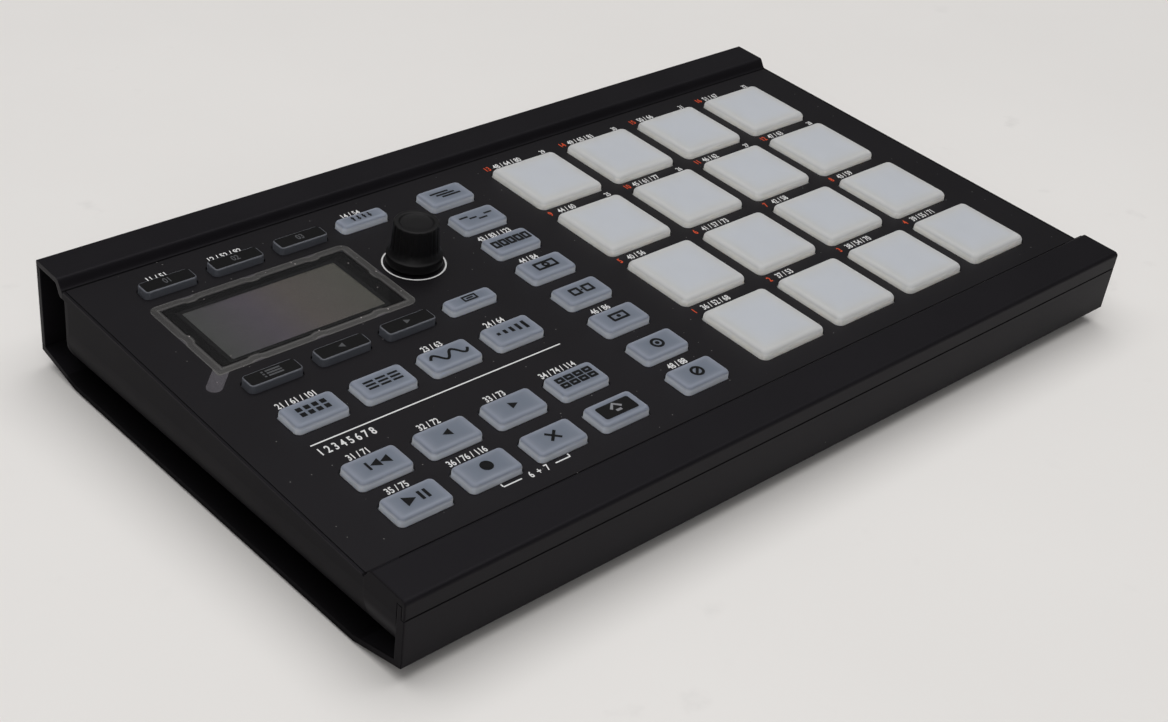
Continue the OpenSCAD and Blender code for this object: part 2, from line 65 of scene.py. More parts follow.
# Height of a digit and the thickening of its strokes, against the font's size
DIGIT = 0.73
BOLD = 0.018
# The case in the panel's frame: edges of the plate, starts of walls and ends, depths of the parting lines
PLATE_EDGE = 79.15
WALL_START = 86.0
CASE_END = 159.2
FRONT_PARTING = 3.12
REAR_PARTING = 2.22
# Half width of a seam's line of painted shade where it has faded and where it is full, and the blur where
# the ends' painted shading begins
SEAM_FADE = (0.45, 0.25)
EDGE_BLUR = 0.6


# The faceplate's frame


def corners(node: bpy.types.Object) -> np.ndarray:
    """Returns an object's vertices as an array of rows, in metres."""
    flat = np.empty(len(node.data.vertices) * 3)
    node.data.vertices.foreach_get("co", flat)
    return flat.reshape(-1, 3)


@dataclass(frozen=True)
class Panel:
    """The faceplate's own frame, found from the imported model.

    Attributes:
        origin: Middle of the plate's top face, in metres.
        axes: Rows u, v and w as unit vectors.
    """

    origin: np.ndarray
    axes: np.ndarray

    @classmethod
    def of_frame(cls) -> "Panel":
        """Returns the panel whose w runs against the pads' travel and whose zero is the plate's top."""
        travel = next(joint["axis"] for joint in frame["joints"] if joint["name"] == "pad_1_press")
        out = -np.array(travel) / np.linalg.norm(travel)
        right = np.array([1.0, 0.0, 0.0])
        axes = np.stack([right, np.cross(out, right), out])
        plate = corners(frame["nodes"]["faceplate"]) @ axes.T
        middle = (plate.min(axis=0) + plate.max(axis=0)) / 2
        middle[2] = plate[:, 2].max()
        return cls(middle @ axes, axes)

    @property
    def tilt(self) -> float:
        """Angle of the panel to the table, in radians."""
        return math.asin(self.axes[1, 2])

    def place(self, points: np.ndarray) -> np.ndarray:
        """Returns panel points, in millimetres, as world points in metres."""
        return self.origin + points * MM @ self.axes

    def extent(self, node: str, above: float = -math.inf) -> tuple[np.ndarray, np.ndarray]:
        """Measures a node in the panel's frame.

        Args:
            node: Name of the CAD node.
            above: Only vertices higher than this w count.

        Returns:
            Lowest and highest u, v and w, in millimetres.
        """
        local = (corners(frame["nodes"][node]) - self.origin) @ self.axes.T / MM
        local = local[local[:, 2] > above]
        return local.min(axis=0), local.max(axis=0)

    def middle(self, node: str) -> np.ndarray:
        """Returns the middle of a node's box in the panel's frame, in millimetres."""
        low, high = self.extent(node)
        return (low + high) / 2


PANEL = Panel.of_frame()


# Shapes as whole arrays


@dataclass
class Shape:
    """A closed surface in the panel's millimetres.

    Attributes:
        points: Vertices, one row each.
        faces: Index lists, wound so that the face points outwards.
        rim: For each vertex, how near the piece's edge it is, from 0 to 1.
    """

    points: np.ndarray
    faces: list[list[int]]
    rim: np.ndarray | None = None

    def moved(self, u: float, v: float, w: float = 0.0) -> "Shape":
        """Returns the shape shifted by u, v and w."""
        return Shape(self.points + np.array([u, v, w]), self.faces, self.rim)


def joined(shapes: Iterable[Shape]) -> Shape:
    """Returns several shapes as one, with each one's indices shifted past the last's."""
    parts = list(shapes)
    starts = np.cumsum([0] + [len(part.points) for part in parts])
    faces = []
    for part, start in zip(parts, starts.tolist()):
        faces += [[index + start for index in face] for face in part.faces]
    return Shape(np.concatenate([part.points for part in parts]), faces)


def loft(rings: np.ndarray, rim: np.ndarray | None = None) -> Shape:
    """Joins rings of equal count into a closed skin.

    Point (j, i) of the grid is point i of ring j. Each quad spans one step round and one step up, and the
    first and last rings are closed by flat faces. Rings run anticlockwise seen from above.

    Args:
        rings: Array of rings, points and u, v, w.
        rim: One edge weight for each ring.

    Returns:
        The skin.
    """
    count, around = rings.shape[:2]
    grid = np.arange(count * around).reshape(count, around)
    ahead = np.roll(grid, -1, axis=1)
    quads = np.stack([grid[:-1], ahead[:-1], ahead[1:], grid[1:]], axis=-1).reshape(-1, 4)
    ends = [grid[0, ::-1].tolist(), grid[-1].tolist()]
    weights = None if rim is None else np.repeat(rim, around)
    return Shape(rings.reshape(-1, 3), quads.tolist() + ends, weights)


def raised(outline: np.ndarray, low: float, high: float) -> np.ndarray:
    """Returns a flat outline as two rings, one at each height."""
    heights = np.array([low, high])[:, None, None] * np.ones((1, len(outline), 1))
    return np.concatenate([np.broadcast_to(outline, (2, *outline.shape)), heights], axis=2)


def prism(outline: np.ndarray, low: float, high: float) -> Shape:
    """Returns the upright prism of a flat anticlockwise outline."""
    return loft(raised(outline, low, high))


def hollow(outer: np.ndarray, inner: np.ndarray, low: float, high: float) -> Shape:
    """Returns the prism between two outlines of equal count: a grid that closes on itself both ways."""
    outside = raised(outer, low, high)
    inside = raised(inner, low, high)
    rings = np.stack([outside[0], outside[1], inside[1], inside[0]])
    grid = np.arange(4 * len(outer)).reshape(4, -1)
    ahead = np.roll(grid, -1, axis=1)
    above = np.roll(grid, -1, axis=0)
    quads = np.stack([grid, ahead, np.roll(ahead, -1, axis=0), above], axis=-1).reshape(-1, 4)
    return Shape(rings.reshape(-1, 3), quads.tolist())


def headings(angle: np.ndarray) -> np.ndarray:
    """Returns the cosine and sine of each angle, one row each."""
    return np.stack([np.cos(angle), np.sin(angle)], axis=1)


def circle(radius: float, steps: int = 40) -> np.ndarray:
    """Returns points round a circle at evenly spaced angles."""
    return radius * headings(np.arange(steps) * math.tau / steps)


def rounded_path(arc_steps: int = 8, side_steps: int = 6) -> tuple[np.ndarray, np.ndarray]:
    """Parameters of a rectangle with round corners, the same for every size.

    A point is its corner weight times the half size of the straight core, plus its direction times the
    radius. On an arc the weight is the corner's signs and the direction turns through a right angle. On a
    side the direction stays and the weight runs from one corner to the next.

    Args:
        arc_steps: Steps in each corner.
        side_steps: Steps along each side.

    Returns:
        Corner weights and directions, one row for each point, anticlockwise.
    """
    signs = np.array([[1, -1], [1, 1], [-1, 1], [-1, -1]], float)
    quarter = np.linspace(0, math.pi / 2, arc_steps + 1)
    share = np.arange(1, side_steps) / side_steps
    weights, directions = [], []
    for index, sign in enumerate(signs):
        turn = headings(quarter + (index - 1) * math.pi / 2)
        following = signs[(index + 1) % 4]
        weights += [np.broadcast_to(sign, turn.shape), sign + share[:, None] * (following - sign)]
        directions += [turn, np.broadcast_to(turn[-1], (len(share), 2))]
    return np.concatenate(weights), np.concatenate(directions)


def rounded(half_w: float, half_d: float, radius: float) -> np.ndarray:
    """Returns the outline of a rectangle with round corners, from its half sizes."""
    weights, directions = rounded_path()
    return weights * (np.array([half_w, half_d]) - radius) + directions * radius


def stacked(halves: np.ndarray, radii: np.ndarray, heights: np.ndarray) -> np.ndarray:
    """Rings of round-cornered rectangles, one above another.

    Args:
        halves: Half width and half depth of each ring.
        radii: Corner radius of each ring.
        heights: Height of each ring.

    Returns:
        Array of rings for loft().
    """
    weights, directions = rounded_path()
    core = halves - radii[:, None]
    flat = weights[None] * core[:, None] + directions[None] * radii[:, None, None]
    return np.concatenate([flat, np.broadcast_to(heights[:, None, None], (*flat.shape[:2], 1))], axis=2)


def stroke(path: np.ndarray, width: float, low: float, high: float) -> Shape:
    """Returns a band of even width along an open path: the path shifted half the width to each side."""
    along = np.gradient(path, axis=0)
    along /= np.linalg.norm(along, axis=1, keepdims=True)
    aside = np.stack([along[:, 1], -along[:, 0]], axis=1) * width / 2
    return prism(np.concatenate([path + aside, (path - aside)[::-1]]), low, high)


def lettering(
    text: str, height: float, low: float, high: float, narrow: float = 0.74, align: str = "CENTER",
) -> Shape:
    """Plain numerals as raised outlines.

    Args:
        text: Digits and signs.
        height: Height of a digit.
        low: Height of the underside.
        high: Height of the face.
        narrow: Width of the letters against the font's own.
        align: Which end of the text stands at zero.

    Returns:
        The letters, standing on v = 0.
    """
    curve = bpy.data.curves.new("lettering", "FONT")
    curve.body = text
    curve.align_x = align
    curve.resolution_u = 4
    curve.offset = BOLD
    curve.extrude = 0.5
    carrier = bpy.data.objects.new("lettering", curve)
    bpy.context.collection.objects.link(carrier)
    bpy.context.view_layer.update()
    evaluated = carrier.evaluated_get(bpy.context.evaluated_depsgraph_get())
    mesh = bpy.data.meshes.new_from_object(evaluated)
    work = bmesh.new()
    work.from_mesh(mesh)
    bmesh.ops.remove_doubles(work, verts=work.verts, dist=1e-5)
    bmesh.ops.recalc_face_normals(work, faces=work.faces)
    points = np.array([vertex.co[:] for vertex in work.verts])
    faces = [[vertex.index for vertex in face.verts] for face in work.faces]
    work.free()
    bpy.data.objects.remove(carrier)
    bpy.data.curves.remove(curve)
    bpy.data.meshes.remove(mesh)
    scale = height / DIGIT
    size = np.array([scale * narrow, scale, high - low])
    return Shape(points * size + np.array([0, 0, (low + high) / 2]), faces)


# Shader nodes


class Value:
    """A number in a node tree, with the arithmetic that the finishes use."""

    def __init__(self, graph: "Graph", socket: bpy.types.NodeSocket) -> None:
        """Wraps one output socket of a graph."""
        self.graph = graph
        self.socket = socket

    def math(self, operation: str, *others: Any) -> "Value":
        """Returns a Math node's result, with this value as its first operand."""
        return self.graph.math(operation, self, *others)

    def __add__(self, other: Any) -> "Value":
        """Returns the sum."""
        return self.math("ADD", other)

    def __mul__(self, other: Any) -> "Value":
        """Returns the product."""
        return self.math("MULTIPLY", other)

    def __sub__(self, other: Any) -> "Value":
        """Returns the difference."""
        return self.math("SUBTRACT", other)

    def __rsub__(self, other: Any) -> "Value":
        """Returns the difference from a number."""
        return self.graph.math("SUBTRACT", other, self)

    __radd__ = __add__
    __rmul__ = __mul__

    def __abs__(self) -> "Value":
        """Returns the size without its sign."""
        return self.math("ABSOLUTE")

    def highest(self, other: Any) -> "Value":
        """Returns the larger of two values."""
        return self.math("MAXIMUM", other)

    def step(self, low: float, high: float) -> "Value":
        """Returns a smooth rise from 0 at low to 1 at high, or a fall where low is the larger."""
        reach = {"From Min": min(low, high), "From Max": max(low, high)}
        ends = {"To Min": float(low > high), "To Max": float(low < high)}
        inputs = {"Value": self, **reach, **ends}
        node = self.graph.node("ShaderNodeMapRange", inputs, interpolation_type="SMOOTHSTEP")
        return Value(self.graph, node.outputs[0])

    def wave(self, pitch: float) -> "Value":
        """Returns a cosine that repeats over each pitch."""
        return (self * (math.tau / pitch)).math("COSINE")


Axes = tuple[Value, Value, Value]


class Graph:
    """The node tree of a material or a world."""

    def __init__(self, owner: bpy.types.Material | bpy.types.World) -> None:
        """Empties the owner's tree."""
        owner.use_nodes = True
        self.tree = owner.node_tree
        self.tree.nodes.clear()
        self.coordinates = self.node("ShaderNodeTexCoord").outputs
        self.object_coordinates = self.coordinates["Object"]

    def node(self, kind: str, inputs: Mapping[Any, Any] | None = None, **settings: Any) -> bpy.types.Node:
        """Adds a node.

        Args:
            kind: Blender's name of the node type.
            inputs: Values or links of its sockets, by name or index.
            **settings: Properties, set before the sockets. A ramp's stops are pairs of position and colour.

        Returns:
            The node.
        """
        node = self.tree.nodes.new(kind)
        stops = settings.pop("stops", ())
        for key, value in settings.items():
            setattr(node, key, value)
        for index, (position, colour) in enumerate(stops):
            elements = node.color_ramp.elements
            element = elements[index] if index < 2 else elements.new(position)
            element.position = position
            element.color = (*colour, 1.0)
        for key, value in (inputs or {}).items():
            self.feed(node.inputs[key], value)
        return node

    def feed(self, target: bpy.types.NodeSocket, value: Any) -> None:
        """Links a value or a socket to a socket, or sets a number or colour on it."""
        if isinstance(value, Value):
            value = value.socket
        if isinstance(value, bpy.types.NodeSocket):
            self.tree.links.new(value, target)
        elif isinstance(value, tuple) and target.type == "RGBA":
            target.default_value = (*value, 1.0)
        else:
            target.default_value = value

    def math(self, operation: str, *operands: Any) -> Value:
        """Returns a Math node's result."""
        node = self.node("ShaderNodeMath", dict(enumerate(operands)), operation=operation)
        return Value(self, node.outputs[0])

    def noise(self, size: float, detail: float = 3.0, vector: Any = None) -> Value:
        """Returns fractal noise whose features are about so many millimetres across."""
        inputs = {"Vector": vector or self.object_coordinates, "Scale": 1 / (size * MM), "Detail": detail}
        return Value(self, self.node("ShaderNodeTexNoise", inputs).outputs[0])

    def specks(self, spacing: float, size: float, share: float, level: bool = False) -> Value:
        """Returns sparse round dots.

        Args:
            spacing: Distance between the cells that may hold a dot, in millimetres.
            size: Radius of the largest dot, in millimetres.
            share: Share of the cells that stay empty.
            level: Whether the dots lie on a level face, so that height doesn't count.

        Returns:
            1 on a dot and 0 elsewhere.
        """
        inputs = {"Vector": self.object_coordinates, "Scale": 1 / (spacing * MM)}
        cells = self.node("ShaderNodeTexVoronoi", inputs, voronoi_dimensions="2D" if level else "3D")
        chance = Value(self, self.node("ShaderNodeSeparateColor", {0: cells.outputs["Color"]}).outputs[0])
        radius = chance.step(share, 1.0) * (size / spacing)
        return (radius - Value(self, cells.outputs["Distance"])).step(0.0, 0.3 * size / spacing)

    def blend(self, factor: Any, low: Any, high: Any) -> bpy.types.NodeSocket:
        """Returns the colour that runs from low to high as the factor goes from 0 to 1."""
        node = self.node("ShaderNodeMix", {0: factor, 6: low, 7: high}, data_type="RGBA")
        return node.outputs[2]

    def attribute(self, name: str) -> Value:
        """Returns one of the mesh's own attributes."""
        return Value(self, self.node("ShaderNodeAttribute", attribute_name=name).outputs["Fac"])

    def panel_axes(self, centre: Sequence[float]) -> Axes:
        """Object coordinates turned into the panel's frame.

        Args:
            centre: World point that becomes zero, in metres.

        Returns:
            u, v and w, in millimetres.
        """
        inputs = {
            "Vector": self.object_coordinates,
            "Location": tuple(float(part) for part in centre),
            "Rotation": (PANEL.tilt, 0.0, 0.0),
            "Scale": (MM, MM, MM),
        }
        turned = self.node("ShaderNodeMapping", inputs, vector_type="TEXTURE").outputs[0]
        split = self.node("ShaderNodeSeparateXYZ", {0: turned})
        u, v, w = (Value(self, output) for output in split.outputs)
        return u, v, w

    def soft_edges(self, radius: float) -> tuple[bpy.types.NodeSocket, Value]:
        """Rounds sharp edges in the shading.

        Args:
            radius: Radius of the rounding, in millimetres.

        Returns:
            The rounded normal, and a mask that is 1 on the edges.
        """
        round_normal = self.node("ShaderNodeBevel", {"Radius": radius * MM}, samples=6).outputs[0]
        flat_normal = self.node("ShaderNodeNewGeometry").outputs["True Normal"]
        dot = self.node("ShaderNodeVectorMath", {0: round_normal, 1: flat_normal}, operation="DOT_PRODUCT")
        return round_normal, Value(self, dot.outputs["Value"]).step(0.995, 0.75)

    def recesses(self, reach: float) -> Value:
        """Returns 1 where surfaces within so many millimetres hide most of the sky, and 0 in the open."""
        node = self.node("ShaderNodeAmbientOcclusion", {"Distance": reach * MM}, samples=6)
        return Value(self, node.outputs["AO"]).step(0.95, 0.4)

    def bump(self, height: Value, depth: float, normal: Any = None) -> bpy.types.NodeSocket:
        """Returns a normal bumped by a height from 0 to 1 that is so many millimetres deep."""
        inputs = {"Height": height, "Distance": depth * MM, "Strength": 1.0}
        if normal is not None:
            inputs["Normal"] = normal
        return self.node("ShaderNodeBump", inputs).outputs[0]

    def shader(self, **inputs: Any) -> bpy.types.NodeSocket:
        """Returns a surface shader, with socket names written with underscores."""
        sockets = {name.replace("_", " "): value for name, value in inputs.items()}
        return self.node("ShaderNodeBsdfPrincipled", sockets).outputs[0]

    def finish(self, shader: bpy.types.NodeSocket) -> None:
        """Ends a material's tree in a shader."""
        self.node("ShaderNodeOutputMaterial", {"Surface": shader})

    def surface(self, **inputs: Any) -> None:
        """Ends a material's tree in one surface shader."""
        self.finish(self.shader(**inputs))


# Finishes


DUST_GREY = (0.36, 0.35, 0.34)
LINT_GREY = (0.25, 0.25, 0.25)
SCUFF_GREY = (0.50, 0.49, 0.48)
SKY_WHITE = (1.0, 0.985, 0.97)


def scaled(colour: Colour, factor: float, lift: float = 0.0) -> Colour:
    """Returns a colour whose parts are multiplied by a factor and then lifted."""
    red, green, blue = (factor * part + lift for part in colour)
    return red, green, blue


@dataclass(frozen=True)
class Finish:
    """A surface finish. Each kind paints its own graph."""

    name: str

    def paint(self, graph: Graph) -> None:
        """Fills a material's node tree."""
        raise NotImplementedError

    @functools.cached_property
    def material(self) -> bpy.types.Material:
        """The finish as a Blender material, made once."""
        material = bpy.data.materials.new(self.name)
        self.paint(Graph(material))
        return material


@dataclass(frozen=True)
class MouldedPlastic(Finish):
    """Spark-textured moulded plastic, a little lighter along its edges: partly wear and partly painted
    highlight.

    Attributes:
        low: Colour of its darker clouds.
        high: Colour of its lighter clouds.
        roughness: Middle roughness.
        gloss: Specular level.
        grain: Width of the texture's grains, in millimetres.
        depth: Depth of the texture, in millimetres.
        edge: Radius to which its edges are softened, in millimetres.
        dust: Share of the dust cells that stay clean.
        level: Whether it is a level face that gathers dust.
        grime: How much darker, as painted shade, and how much rougher its recesses are.
        seams: Whether the case's parting lines cross it, with painted shade laid along them and along the
            plate's front and rear edges.
        sheen: Tint of its reflections.
        cheeks: Colour of a lighter, less glossy copy of the finish on the end cheeks and the front strip's
            ends, which paints how light falls there, for a finish with seams that has them.
    """

    low: Colour
    high: Colour
    roughness: float = 0.48
    gloss: float = 0.4
    grain: float = 0.35
    depth: float = 0.012
    edge: float = 0.5
    dust: float = 0.8
    level: bool = False
    grime: float = 0.0
    seams: bool = False
    sheen: Colour = (1.0, 1.0, 1.0)
    cheeks: Colour | None = None

    def seam_lines(self, axes: Axes) -> Value:
        """Returns 1 along the plate's front and rear edges and the case's parting lines, where painted shade
        is laid, and 0 elsewhere.
        """
        across, along, out = axes
        wall = (WALL_START, WALL_START + 2.0)
        edge = abs(abs(along) - PLATE_EDGE).step(0.55, 0.3) * out.step(-0.8, -0.4)
        front = abs(out + FRONT_PARTING).step(*SEAM_FADE) * (0.0 - along).step(*wall)
        rear = abs(out + REAR_PARTING).step(*SEAM_FADE) * along.step(*wall)
        return edge.highest(front.highest(rear) * abs(across).step(CASE_END + 0.4, CASE_END - 0.2))

    def matt_ends(self, axes: Axes) -> Value:
        """Returns 1 on the end cheeks and on the front strip's ends, which take the painted end shading, and
        0 elsewhere.
        """
        across, along, out = axes
        cheek = out.step(-0.2, -0.8) * abs(along).step(PLATE_EDGE + EDGE_BLUR, PLATE_EDGE)
        end = abs(across).step(CASE_END, CASE_END + EDGE_BLUR)
        strip = (0.0 - along).step(PLATE_EDGE, PLATE_EDGE + EDGE_BLUR)
        return cheek.highest(end * strip)

    def paint(self, graph: Graph) -> None:
        """Clouds, wear with painted edge highlights, painted shade in recesses and along parting lines, and
        dust for colour, grain for bump, smudges and recesses for roughness.
        """
        clouds = graph.noise(38.0, 4.0)
        grain = graph.noise(self.grain, 2.0)
        normal, edges = graph.soft_edges(self.edge)
        # Lighter edges: partly wear, in patches, and partly a painted highlight where a rounded edge catches
        # light.
        rubbed_and_highlit = edges * (0.45 + graph.noise(9.0).step(0.3, 0.75) * 0.55)
        # Painted shade: recesses, where surfaces close by hide most of the sky, are darkened and made
        # rougher.
        deep = graph.recesses(12.0) * self.grime
        axes = graph.panel_axes(PANEL.origin) if self.seams else None
        # Painted shade along the parting lines and the plate's front and rear edges.
        if axes:
            deep = deep.highest(self.seam_lines(axes))
        dust = graph.specks(7.0, 0.22, self.dust, self.level)
        body = graph.blend(clouds.step(0.3, 0.7), self.low, self.high)
        worn_and_highlit = graph.blend(rubbed_and_highlit * 0.6, body, scaled(self.high, 2.2, 0.006))
        # Painted shade: recesses and the parting lines darken towards a fifth of the low colour.
        recess_and_seam_shaded = graph.blend(deep, worn_and_highlit, scaled(self.low, 0.2))
        uneven = (clouds - 0.5) * 0.12 + (grain - 0.5) * 0.08
        look = {
            "Base_Color": graph.blend(dust * 0.5, recess_and_seam_shaded, DUST_GREY),
            "Roughness": self.roughness + uneven - rubbed_and_highlit * 0.08 + deep * 0.4,
            "Normal": graph.bump(grain, self.depth, normal),
            "Specular_Tint": self.sheen,
        }
        skin = graph.shader(**look, Specular_IOR_Level=self.gloss)
        # Painted end shading: a lighter, less glossy copy of the finish on the ends paints how light falls
        # on them, with painted shade in its recesses.
        if axes and self.cheeks:
            look["Base_Color"] = graph.blend(deep, self.cheeks, scaled(self.cheeks, 0.12))
            end_shading = graph.shader(**look, Specular_IOR_Level=0.03)
            mixed = {0: self.matt_ends(axes), 1: skin, 2: end_shading}
            skin = graph.node("ShaderNodeMixShader", mixed).outputs[0]
        graph.finish(skin)


@dataclass(frozen=True)
class MilkySilicone(Finish):
    """Translucent moulded silicone or acrylic, with walls painted lighter: painted light for the glow that
    spreads through them.

    Attributes:
        centre: Colour over the middle of the top.
        edge: Colour along the top's edge; on the milky keys it is lighter, painted light for the glow
            through the edge.
        wall: Colour down the sides; on the milky pads and keys it is painted light, lighter than the top for
            the glow through the silicone.
        glow: Weight of the light that spreads inside.
        spread: How far that light spreads, in millimetres.
        roughness: Middle roughness.
        gloss: Specular level.
    """

    centre: Colour
    edge: Colour
    wall: Colour
    glow: float = 0.8
    spread: float = 2.5
    roughness: float = 0.42
    gloss: float = 0.25

    def paint(self, graph: Graph) -> None:
        """The rim attribute runs from the centre's colour over the edge's to the wall's, under clouds; the
        lighter edge and wall colours are painted light.
        """
        clouds = graph.noise(16.0, 3.0)
        grain = graph.noise(0.5, 2.0)
        lint = graph.specks(5.0, 0.09, 0.82)
        rim = graph.attribute("rim") + (clouds - 0.5) * 0.12
        # Painted light: the lighter edge and wall stops stand in for light that spreads through the silicone
        # and out of its walls.
        stops = [(0.0, self.centre), (0.55, self.edge), (0.82, self.edge), (1.0, self.wall)]
        milk_and_painted_glow = graph.node("ShaderNodeValToRGB", {0: rim}, stops=stops).outputs[0]
        shade = graph.blend(clouds.step(0.35, 0.7) * 0.08, milk_and_painted_glow, scaled(self.centre, 0.8))
        graph.surface(
            Base_Color=graph.blend(lint * 0.3, shade, LINT_GREY),
            Roughness=self.roughness + (clouds - 0.5) * 0.1,
            Normal=graph.bump(grain, 0.004),
            Specular_IOR_Level=self.gloss,
            Subsurface_Weight=self.glow,
            Subsurface_Radius=(1.0, 0.97, 0.93),
            Subsurface_Scale=self.spread * MM,
        )


@dataclass(frozen=True)
class Ink(Finish):
    """Screen-printed ink, slightly uneven.

    Attributes:
        colour: Colour where the ink lies full.
        thin: Colour where it lies thin.
        roughness: Middle roughness.
    """

    colour: Colour
    thin: Colour
    roughness: float = 0.5

    def paint(self, graph: Graph) -> None:
        """Fine noise mixes the thin colour in."""
        cover = graph.noise(0.6, 3.0)
        graph.surface(
            Base_Color=graph.blend(cover.step(0.62, 0.8) * 0.6, self.colour, self.thin),
            Roughness=self.roughness + (cover - 0.5) * 0.2,
            Normal=graph.bump(cover, 0.004),
            Specular_IOR_Level=0.12,
        )


@dataclass(frozen=True)
class Metal(Finish):
    """Plain or plated steel with fine drawing marks along one axis.

    Attributes:
        colour: Colour of the metal.
        roughness: Middle roughness.
    """

    colour: Colour
    roughness: float = 0.28

    def paint(self, graph: Graph) -> None:
        """Noise drawn out along y scratches a metallic surface."""
        inputs = {"Vector": graph.object_coordinates, "Scale": (1.0, 0.06, 1.0)}
        drawn = graph.node("ShaderNodeMapping", inputs).outputs[0]
        marks = graph.noise(0.25, 3.0, drawn)
        stain = graph.noise(4.0, 3.0)
        graph.surface(
            Base_Color=graph.blend(stain.step(0.35, 0.75) * 0.4, self.colour, scaled(self.colour, 0.6)),
            Roughness=self.roughness + (marks - 0.5) * 0.2,
            Normal=graph.bump(marks, 0.003),
            Metallic=1.0,
        )


@dataclass(frozen=True)
class SmokedLens(Finish):
    """Clear tinted acrylic with faint wipe marks."""

    def paint(self, graph: Graph) -> None:
        """A dark see-through skin whose gloss is broken by smears."""
        smear = graph.noise(7.0, 4.0)
        graph.surface(
            Base_Color=graph.blend(smear, (0.012, 0.012, 0.014), (0.02, 0.02, 0.021)),
            Roughness=0.08 + smear.step(0.5, 0.8) * 0.08,
            Normal=graph.bump(smear, 0.004),
            Alpha=0.3 + smear * 0.04,
            Specular_IOR_Level=0.5,
        )


@dataclass(frozen=True)
class ProtectiveFilm(Finish):
    """Thin clear film, milkier where its margin lies on the plate beside the lens.

    Attributes:
        centre: Middle of the film, in metres.
        lens: Half width and half depth of the lens under it, in millimetres.
        scallop: Distance between the bumps of the milky margin, and their height, in millimetres.
    """

    centre: Point
    lens: tuple[float, float]
    scallop: tuple[float, float] = (23.0, 0.8)

    def paint(self, graph: Graph) -> None:
        """The margin lies past the lens's edge, which a row of bumps moves in along each side."""
        across, along, _ = graph.panel_axes(self.centre)
        half_w, half_d = self.lens
        pitch, rise = self.scallop
        bumps_u, bumps_v = (axis.wave(pitch).step(0.7, 1.0) * rise for axis in (across, along))
        past = (abs(across) - half_w + bumps_v).highest(abs(along) - half_d + bumps_u)
        margin = past.step(0.75, 1.25)
        wipes = graph.noise(11.0, 4.0)
        specks = graph.specks(5.0, 0.24, 0.5, level=True)
        cut = past.step(2.95, 3.3) - past.step(3.4, 3.7) * 0.75
        fold = past.step(0.3, 0.8) - past.step(1.0, 1.5)
        haze = 0.006 + margin * 0.055 + (cut + fold) * 0.07 + wipes.step(0.55, 0.85) * 0.01 + specks * 0.35
        tint = graph.blend(past.step(3.4, 3.9), (0.56, 0.55, 0.53), (0.53, 0.50, 0.56))
        graph.surface(
            Base_Color=graph.blend(specks, tint, (0.80, 0.72, 0.72)),
            Roughness=0.14 + wipes * 0.1 + margin * 0.14,
            Normal=graph.bump(graph.noise(14.0, 2.0), 0.06),
            Alpha=haze,
            Specular_IOR_Level=0.5,
        )


@dataclass(frozen=True)
class DisplayGlass(Finish):
    """Grey glass of a display that is switched off, with a faint dot matrix.

    Attributes:
        centre: Middle of the glass, in metres.
        half_width: Half width of the glass, in millimetres.
        dot_pitch: Distance between the dots, in millimetres.
    """

    centre: Point
    half_width: float
    dot_pitch: float = 0.45

    def paint(self, graph: Graph) -> None:
        """Colour runs bluish, violet and olive across the width, under a fine dot grid."""
        across, along, _ = graph.panel_axes(self.centre)
        stops = [
            (0.0, (0.255, 0.264, 0.252)), (0.35, (0.345, 0.298, 0.362)),
            (0.6, (0.400, 0.345, 0.318)), (1.0, (0.345, 0.335, 0.284)),
        ]
        share = across * (0.5 / self.half_width) + 0.5
        ramp = graph.node("ShaderNodeValToRGB", {0: share}, stops=stops).outputs[0]
        lines = across.wave(self.dot_pitch).highest(along.wave(self.dot_pitch)).step(0.85, 1.0)
        graph.surface(
            Base_Color=graph.blend(lines * 0.22, ramp, (0.05, 0.05, 0.055)),
            Roughness=0.32 + graph.noise(8.0) * 0.1,
            Specular_IOR_Level=0.3,
        )


@dataclass(frozen=True)
class CircuitBoard(Finish):
    """Green solder mask over copper tracks."""

    def paint(self, graph: Graph) -> None:
        """Tracks are the narrow bands of a stretched brick pattern, a little lighter and raised."""
        inputs = {"Scale": 90.0, "Mortar Size": 0.012, "Mortar Smooth": 0.3}
        brick = graph.node("ShaderNodeTexBrick", {"Vector": graph.object_coordinates, **inputs})
        track = Value(graph, brick.outputs["Fac"])
        blotch = graph.noise(5.0)
        mask = graph.blend(blotch, (0.010, 0.075, 0.032), (0.014, 0.095, 0.042))
        graph.surface(
            Base_Color=graph.blend(track * 0.7, mask, (0.05, 0.21, 0.08)),
            Roughness=0.36 + blotch * 0.1,
            Normal=graph.bump(track, 0.03),
        )


@dataclass(frozen=True)
class FloorPaper(Finish):
    """Pale studio floor with faint scuffs."""

    def paint(self, graph: Graph) -> None:
        """Broad clouds, small scuffs and a few grey marks, and a glow far out, past the lamps' reach."""
        clouds = graph.noise(160.0, 4.0)
        scuffs = graph.noise(22.0, 6.0)
        marks = scuffs.step(0.64, 0.78) * clouds.step(0.42, 0.6)
        base = graph.blend(clouds, (0.81, 0.79, 0.77), (0.865, 0.845, 0.825))
        place = {0: graph.object_coordinates}
        far = Value(graph, graph.node("ShaderNodeVectorMath", place, operation="LENGTH").outputs["Value"])
        graph.surface(
            Base_Color=graph.blend(marks * 0.22, base, SCUFF_GREY),
            Emission_Color=graph.blend(far.step(0.3, 4.0), (0.0, 0.0, 0.0), (0.56, 0.545, 0.53)),
            Emission_Strength=1.0,
            Roughness=0.62 + scuffs * 0.15,
            Normal=graph.bump(scuffs, 0.05),
            Specular_IOR_Level=0.2,
        )


# Painted shade in the recesses and along the parting lines, and painted end shading on the end cheeks and
# the front strip's ends.
CASE_BLACK = MouldedPlastic(
    "case_black", (0.0051, 0.0045, 0.0058), (0.0066, 0.0059, 0.0074),
    roughness=0.5, gloss=0.13, grime=0.9, seams=True, sheen=(0.95, 0.91, 1.0),
    cheeks=(0.0110, 0.0102, 0.0116),
)
